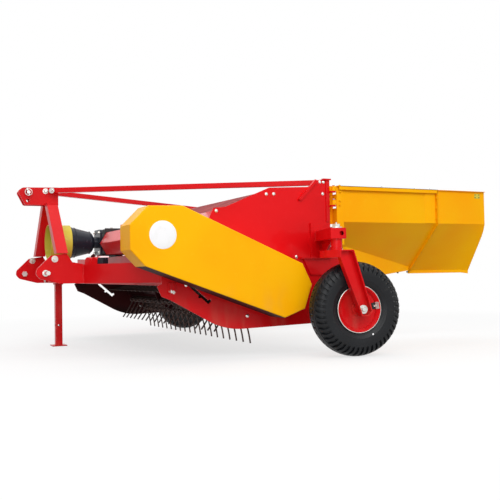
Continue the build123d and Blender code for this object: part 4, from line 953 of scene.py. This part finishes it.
radius, rise, half, low = (clampLook[name] for name in ("radius", "rise", "half", "foot"))
outline = [(-half, 0.0), (half, 0.0), (half, low)]
outline += [(radius * math.cos(a), rise + radius * math.sin(a))
            for a in (math.pi * k / 10 for k in range(11))]
outline += [(-half, low)]
work = bmesh.new()
for run in clampLook["runs"]:
    slab(work, outline, clampLook["width"], framed(onBeam(run) - beamAcross * clampLook["width"] / 2,
                                                   beamRun, Vector((0, 0, 1)), beamAcross), 0.002)
finishPiece(work, "beamClamps", redPaint)
work = bmesh.new()
for run in clampLook["runs"]:
    foot = onBeam(run)
    foot.z = beamTop + rise + radius - 0.0005
    hexHead(work, foot, (0, 0, 1), 0.010)
finishPiece(work, "beamClampBolts", zinc)
work = bmesh.new()
width, depth = clampLook["blockHalf"]
slab(work, oblong(-width, -depth, width, depth), clampLook["blockHeight"],
     framed(onBeam(clampLook["blockRun"]), beamRun, beamAcross, Vector((0, 0, 1))), 0.003)
finishPiece(work, "beamBlock", blackPlastic)
print("clamps done")


# On the panels: slanting strip, ribs at the slot, band, cap and foot plate behind; gap strip and weld beads
stripLook = {"low": (1.234, 0.817), "high": (1.340, 0.926), "width": 0.014, "thickness": 0.018,
             "ribs": (0.490, 0.516), "ribWidth": 0.006, "ribZ": (0.334, 0.388), "ribThick": 0.014,
             "slotPlate": (0.484, 0.330, 0.528, 0.390), "slotPlateThick": 0.006,
             "band": ((1.402, 0.9002), (1.405, 0.9065), (1.4298, 0.9006)), "bandZ": (0.930, 0.702),
             "capX": (1.384, 1.434), "capY": (0.892, 0.912), "capZ": 0.938,
             "foot": ((0.566, 1.460), (0.550, 1.487), (0.440, 1.487), (0.365, 1.446)), "footX": 1.420,
             "footY": 0.8995, "gapX": (1.411, 1.476), "gapY": 0.8606, "gapZ": (0.905, 0.692)}
weldLook = {"bracket": (1.327, 0.594, 1.410, 0.648), "bracketY": 0.9105, "plateY": 0.3465,
            "studRadius": 0.0185, "studZ": 0.447, "rearX": 0.2005, "rearZ": (0.392, 0.490)}


def makePanelStrips(side, sign):
    strip = stripLook
    onPanel = framed(at(0, sign * panelLook["outer"], 0), (1, 0, 0), (0, 0, 1), (0, sign, 0))
    low, high = Vector(strip["low"]), Vector(strip["high"])
    run = (high - low).normalized()
    normal = Vector((-run.y, run.x)) * strip["width"] / 2
    work = bmesh.new()
    slab(work, [low - normal, high - normal, high + normal, low + normal], strip["thickness"], onPanel, 0.001)
    z0, z1 = strip["ribZ"]
    for x in strip["ribs"]:
        slab(work, oblong(x, z0, x + strip["ribWidth"], z1), strip["ribThick"], onPanel, 0.001)
    slab(work, oblong(*strip["slotPlate"]), strip["slotPlateThick"], onPanel, 0.001)
    sheet(work, [[(x, y, z) for x, y in strip["band"]] for z in strip["bandZ"]], (0, -0.004, 0), sign)
    sheet(work, [[(x, y, strip["capZ"]) for x in strip["capX"]] for y in strip["capY"]], (0, 0, -0.007), sign)
    sheet(work, [[(x, strip["footY"], z) for x in (strip["footX"], rear)] for z, rear in strip["foot"]],
          (0, -0.006, 0), sign)
    finishPiece(work, "panelStrips_" + side, redPaint, outward=True)


def makeGapStrip(side, sign):
    # on the rear post, behind the gap in front of the door
    work = bmesh.new()
    sheet(work, [[(x, stripLook["gapY"], z) for x in stripLook["gapX"]] for z in stripLook["gapZ"]],
          (0, -0.003, 0), sign)
    finishPiece(work, "gapStrip_" + side, yellowPaint, outward=True)


def makeWelds(side, sign):
    # castor bracket on its plate, stud in its hitch plate, and the plate's rear end
    work = bmesh.new()
    y = sign * weldLook["bracketY"]
    weldBead(work, [at(x, y, z) for x, z in oblong(*weldLook["bracket"])], closed=True)
    y = sign * weldLook["plateY"]
    radius, middle = weldLook["studRadius"], weldLook["studZ"]
    weldBead(work, [at(radius * math.cos(a), y, middle + radius * math.sin(a)) for a in angles(18)], 0.0026,
             closed=True)
    weldBead(work, [at(weldLook["rearX"], y, z) for z in weldLook["rearZ"]], 0.0036)
    finishPiece(work, "weldBeads_" + side, redPaint, outward=True)


for side, sign in sides.items():
    for makePart in (makePanelStrips, makeGapStrip, makeWelds):
        makePart(side, sign)
print("strips and welds done")


# Studio: pale floor that fades to white, and soft lamps
studio = {"world": 0.52, "front": 300.0, "top": 95.0, "back": 75.0, "low": 28.0,
          "floorSeen": (0.92, 0.92, 0.92, 1.0), "floorBounce": (0.40, 0.39, 0.38, 1.0), "floorWhite": 0.68,
          "fadeStart": 2.0, "fadeEnd": 4.0, "floorRadius": 60.0, "floorDepth": 0.02}


def makeFloor():
    work = bmesh.new()
    spun(work, [(studio["floorRadius"], -studio["floorDepth"]), (studio["floorRadius"], 0.0)], 64,
         Matrix.Identity(4))
    mesh = bpy.data.meshes.new("floor")
    work.to_mesh(mesh)
    work.free()
    floor = bpy.data.objects.new("floor", mesh)
    bpy.context.scene.collection.objects.link(floor)
    finish = Finish("studioFloor", None, Roughness=0.9, Specular_IOR_Level=0.0)
    seen = finish.seenRays()
    finish.give("Base Color", finish.blend(seen, studio["floorBounce"], studio["floorSeen"]))
    x, y = finish.axis(finish.place, "X"), finish.axis(finish.place, "Y")
    fade = finish.rise(x * x + y * y, studio["fadeStart"] ** 2, studio["fadeEnd"] ** 2)
    white = seen * (studio["floorWhite"] + (1.0 - studio["floorWhite"]) * fade)
    bright = finish.node("ShaderNodeEmission", {})
    mixed = finish.node("ShaderNodeMixShader", {0: white, 1: finish.shader, 2: bright})
    finish.tree.links.new(mixed.socket, finish.surface.socket)
    mesh.materials.append(finish.material)


def makeWorld():
    world = bpy.data.worlds.new("studioWorld")
    bpy.context.scene.world = world
    world.use_nodes = True
    sky = NodeTree(world.node_tree)
    dim = sky.node("ShaderNodeBackground", {"Color": (1, 1, 1, 1), "Strength": studio["world"]})
    white = sky.node("ShaderNodeBackground", {"Color": (1, 1, 1, 1), "Strength": 1.0})
    mixed = sky.node("ShaderNodeMixShader", {0: sky.seenRays(), 1: dim, 2: white})
    sky.node("ShaderNodeOutputWorld", {"Surface": mixed})


def makeLamp(name, place, target, width, depth, power):
    light = bpy.data.lights.new(name, "AREA")
    light.shape = "RECTANGLE"
    light.size, light.size_y = width, depth
    light.energy = power
    lamp = bpy.data.objects.new(name, light)
    lamp.location = place
    lamp.rotation_euler = (Vector(target) - Vector(place)).to_track_quat("-Z", "Y").to_euler()
    lamp.visible_camera = False
    bpy.context.scene.collection.objects.link(lamp)


makeFloor()
makeWorld()
makeLamp("frontBox", (-1.2, -6.4, 4.4), (0, 0, 0.4), 8.0, 4.0, studio["front"])
makeLamp("topBox", (0.0, 0.2, 4.6), (0, 0, 0), 6.0, 5.0, studio["top"])
makeLamp("lowBox", (-2.4, -5.4, 0.7), (1.0, -0.8, 0.5), 2.4, 1.0, studio["low"])
makeLamp("backBox", (0.0, 6.2, 3.4), (0, 0, 0.6), 9.0, 3.6, studio["back"])


# Camera at the photograph's angle
cameraLook = {"place": (-1.9755, -4.370, 0.433), "yaw": 25.97, "pitch": 1.72, "roll": -1.00, "lens": 53.57}


def makeCamera():
    yaw, pitch, roll = (math.radians(cameraLook[k]) for k in ("yaw", "pitch", "roll"))
    level = Vector((math.sin(yaw), math.cos(yaw), 0))
    right = Vector((math.cos(yaw), -math.sin(yaw), 0))
    upright = Vector((0, 0, 1))
    ahead = level * math.cos(pitch) + upright * math.sin(pitch)
    up = upright * math.cos(pitch) - level * math.sin(pitch)
    sideways = right * math.cos(roll) + up * math.sin(roll)
    top = up * math.cos(roll) - right * math.sin(roll)
    data = bpy.data.cameras.new("photoCamera")
    data.lens = cameraLook["lens"]
    data.sensor_width = 36.0
    data.sensor_fit = "HORIZONTAL"
    data.clip_end = 200.0
    camera = bpy.data.objects.new("photoCamera", data)
    camera.matrix_world = framed(cameraLook["place"], sideways, top, -ahead)
    bpy.context.scene.collection.objects.link(camera)
    bpy.context.scene.camera = camera


makeCamera()
bpy.context.scene.view_settings.view_transform = "Standard"
print("studio and camera done")
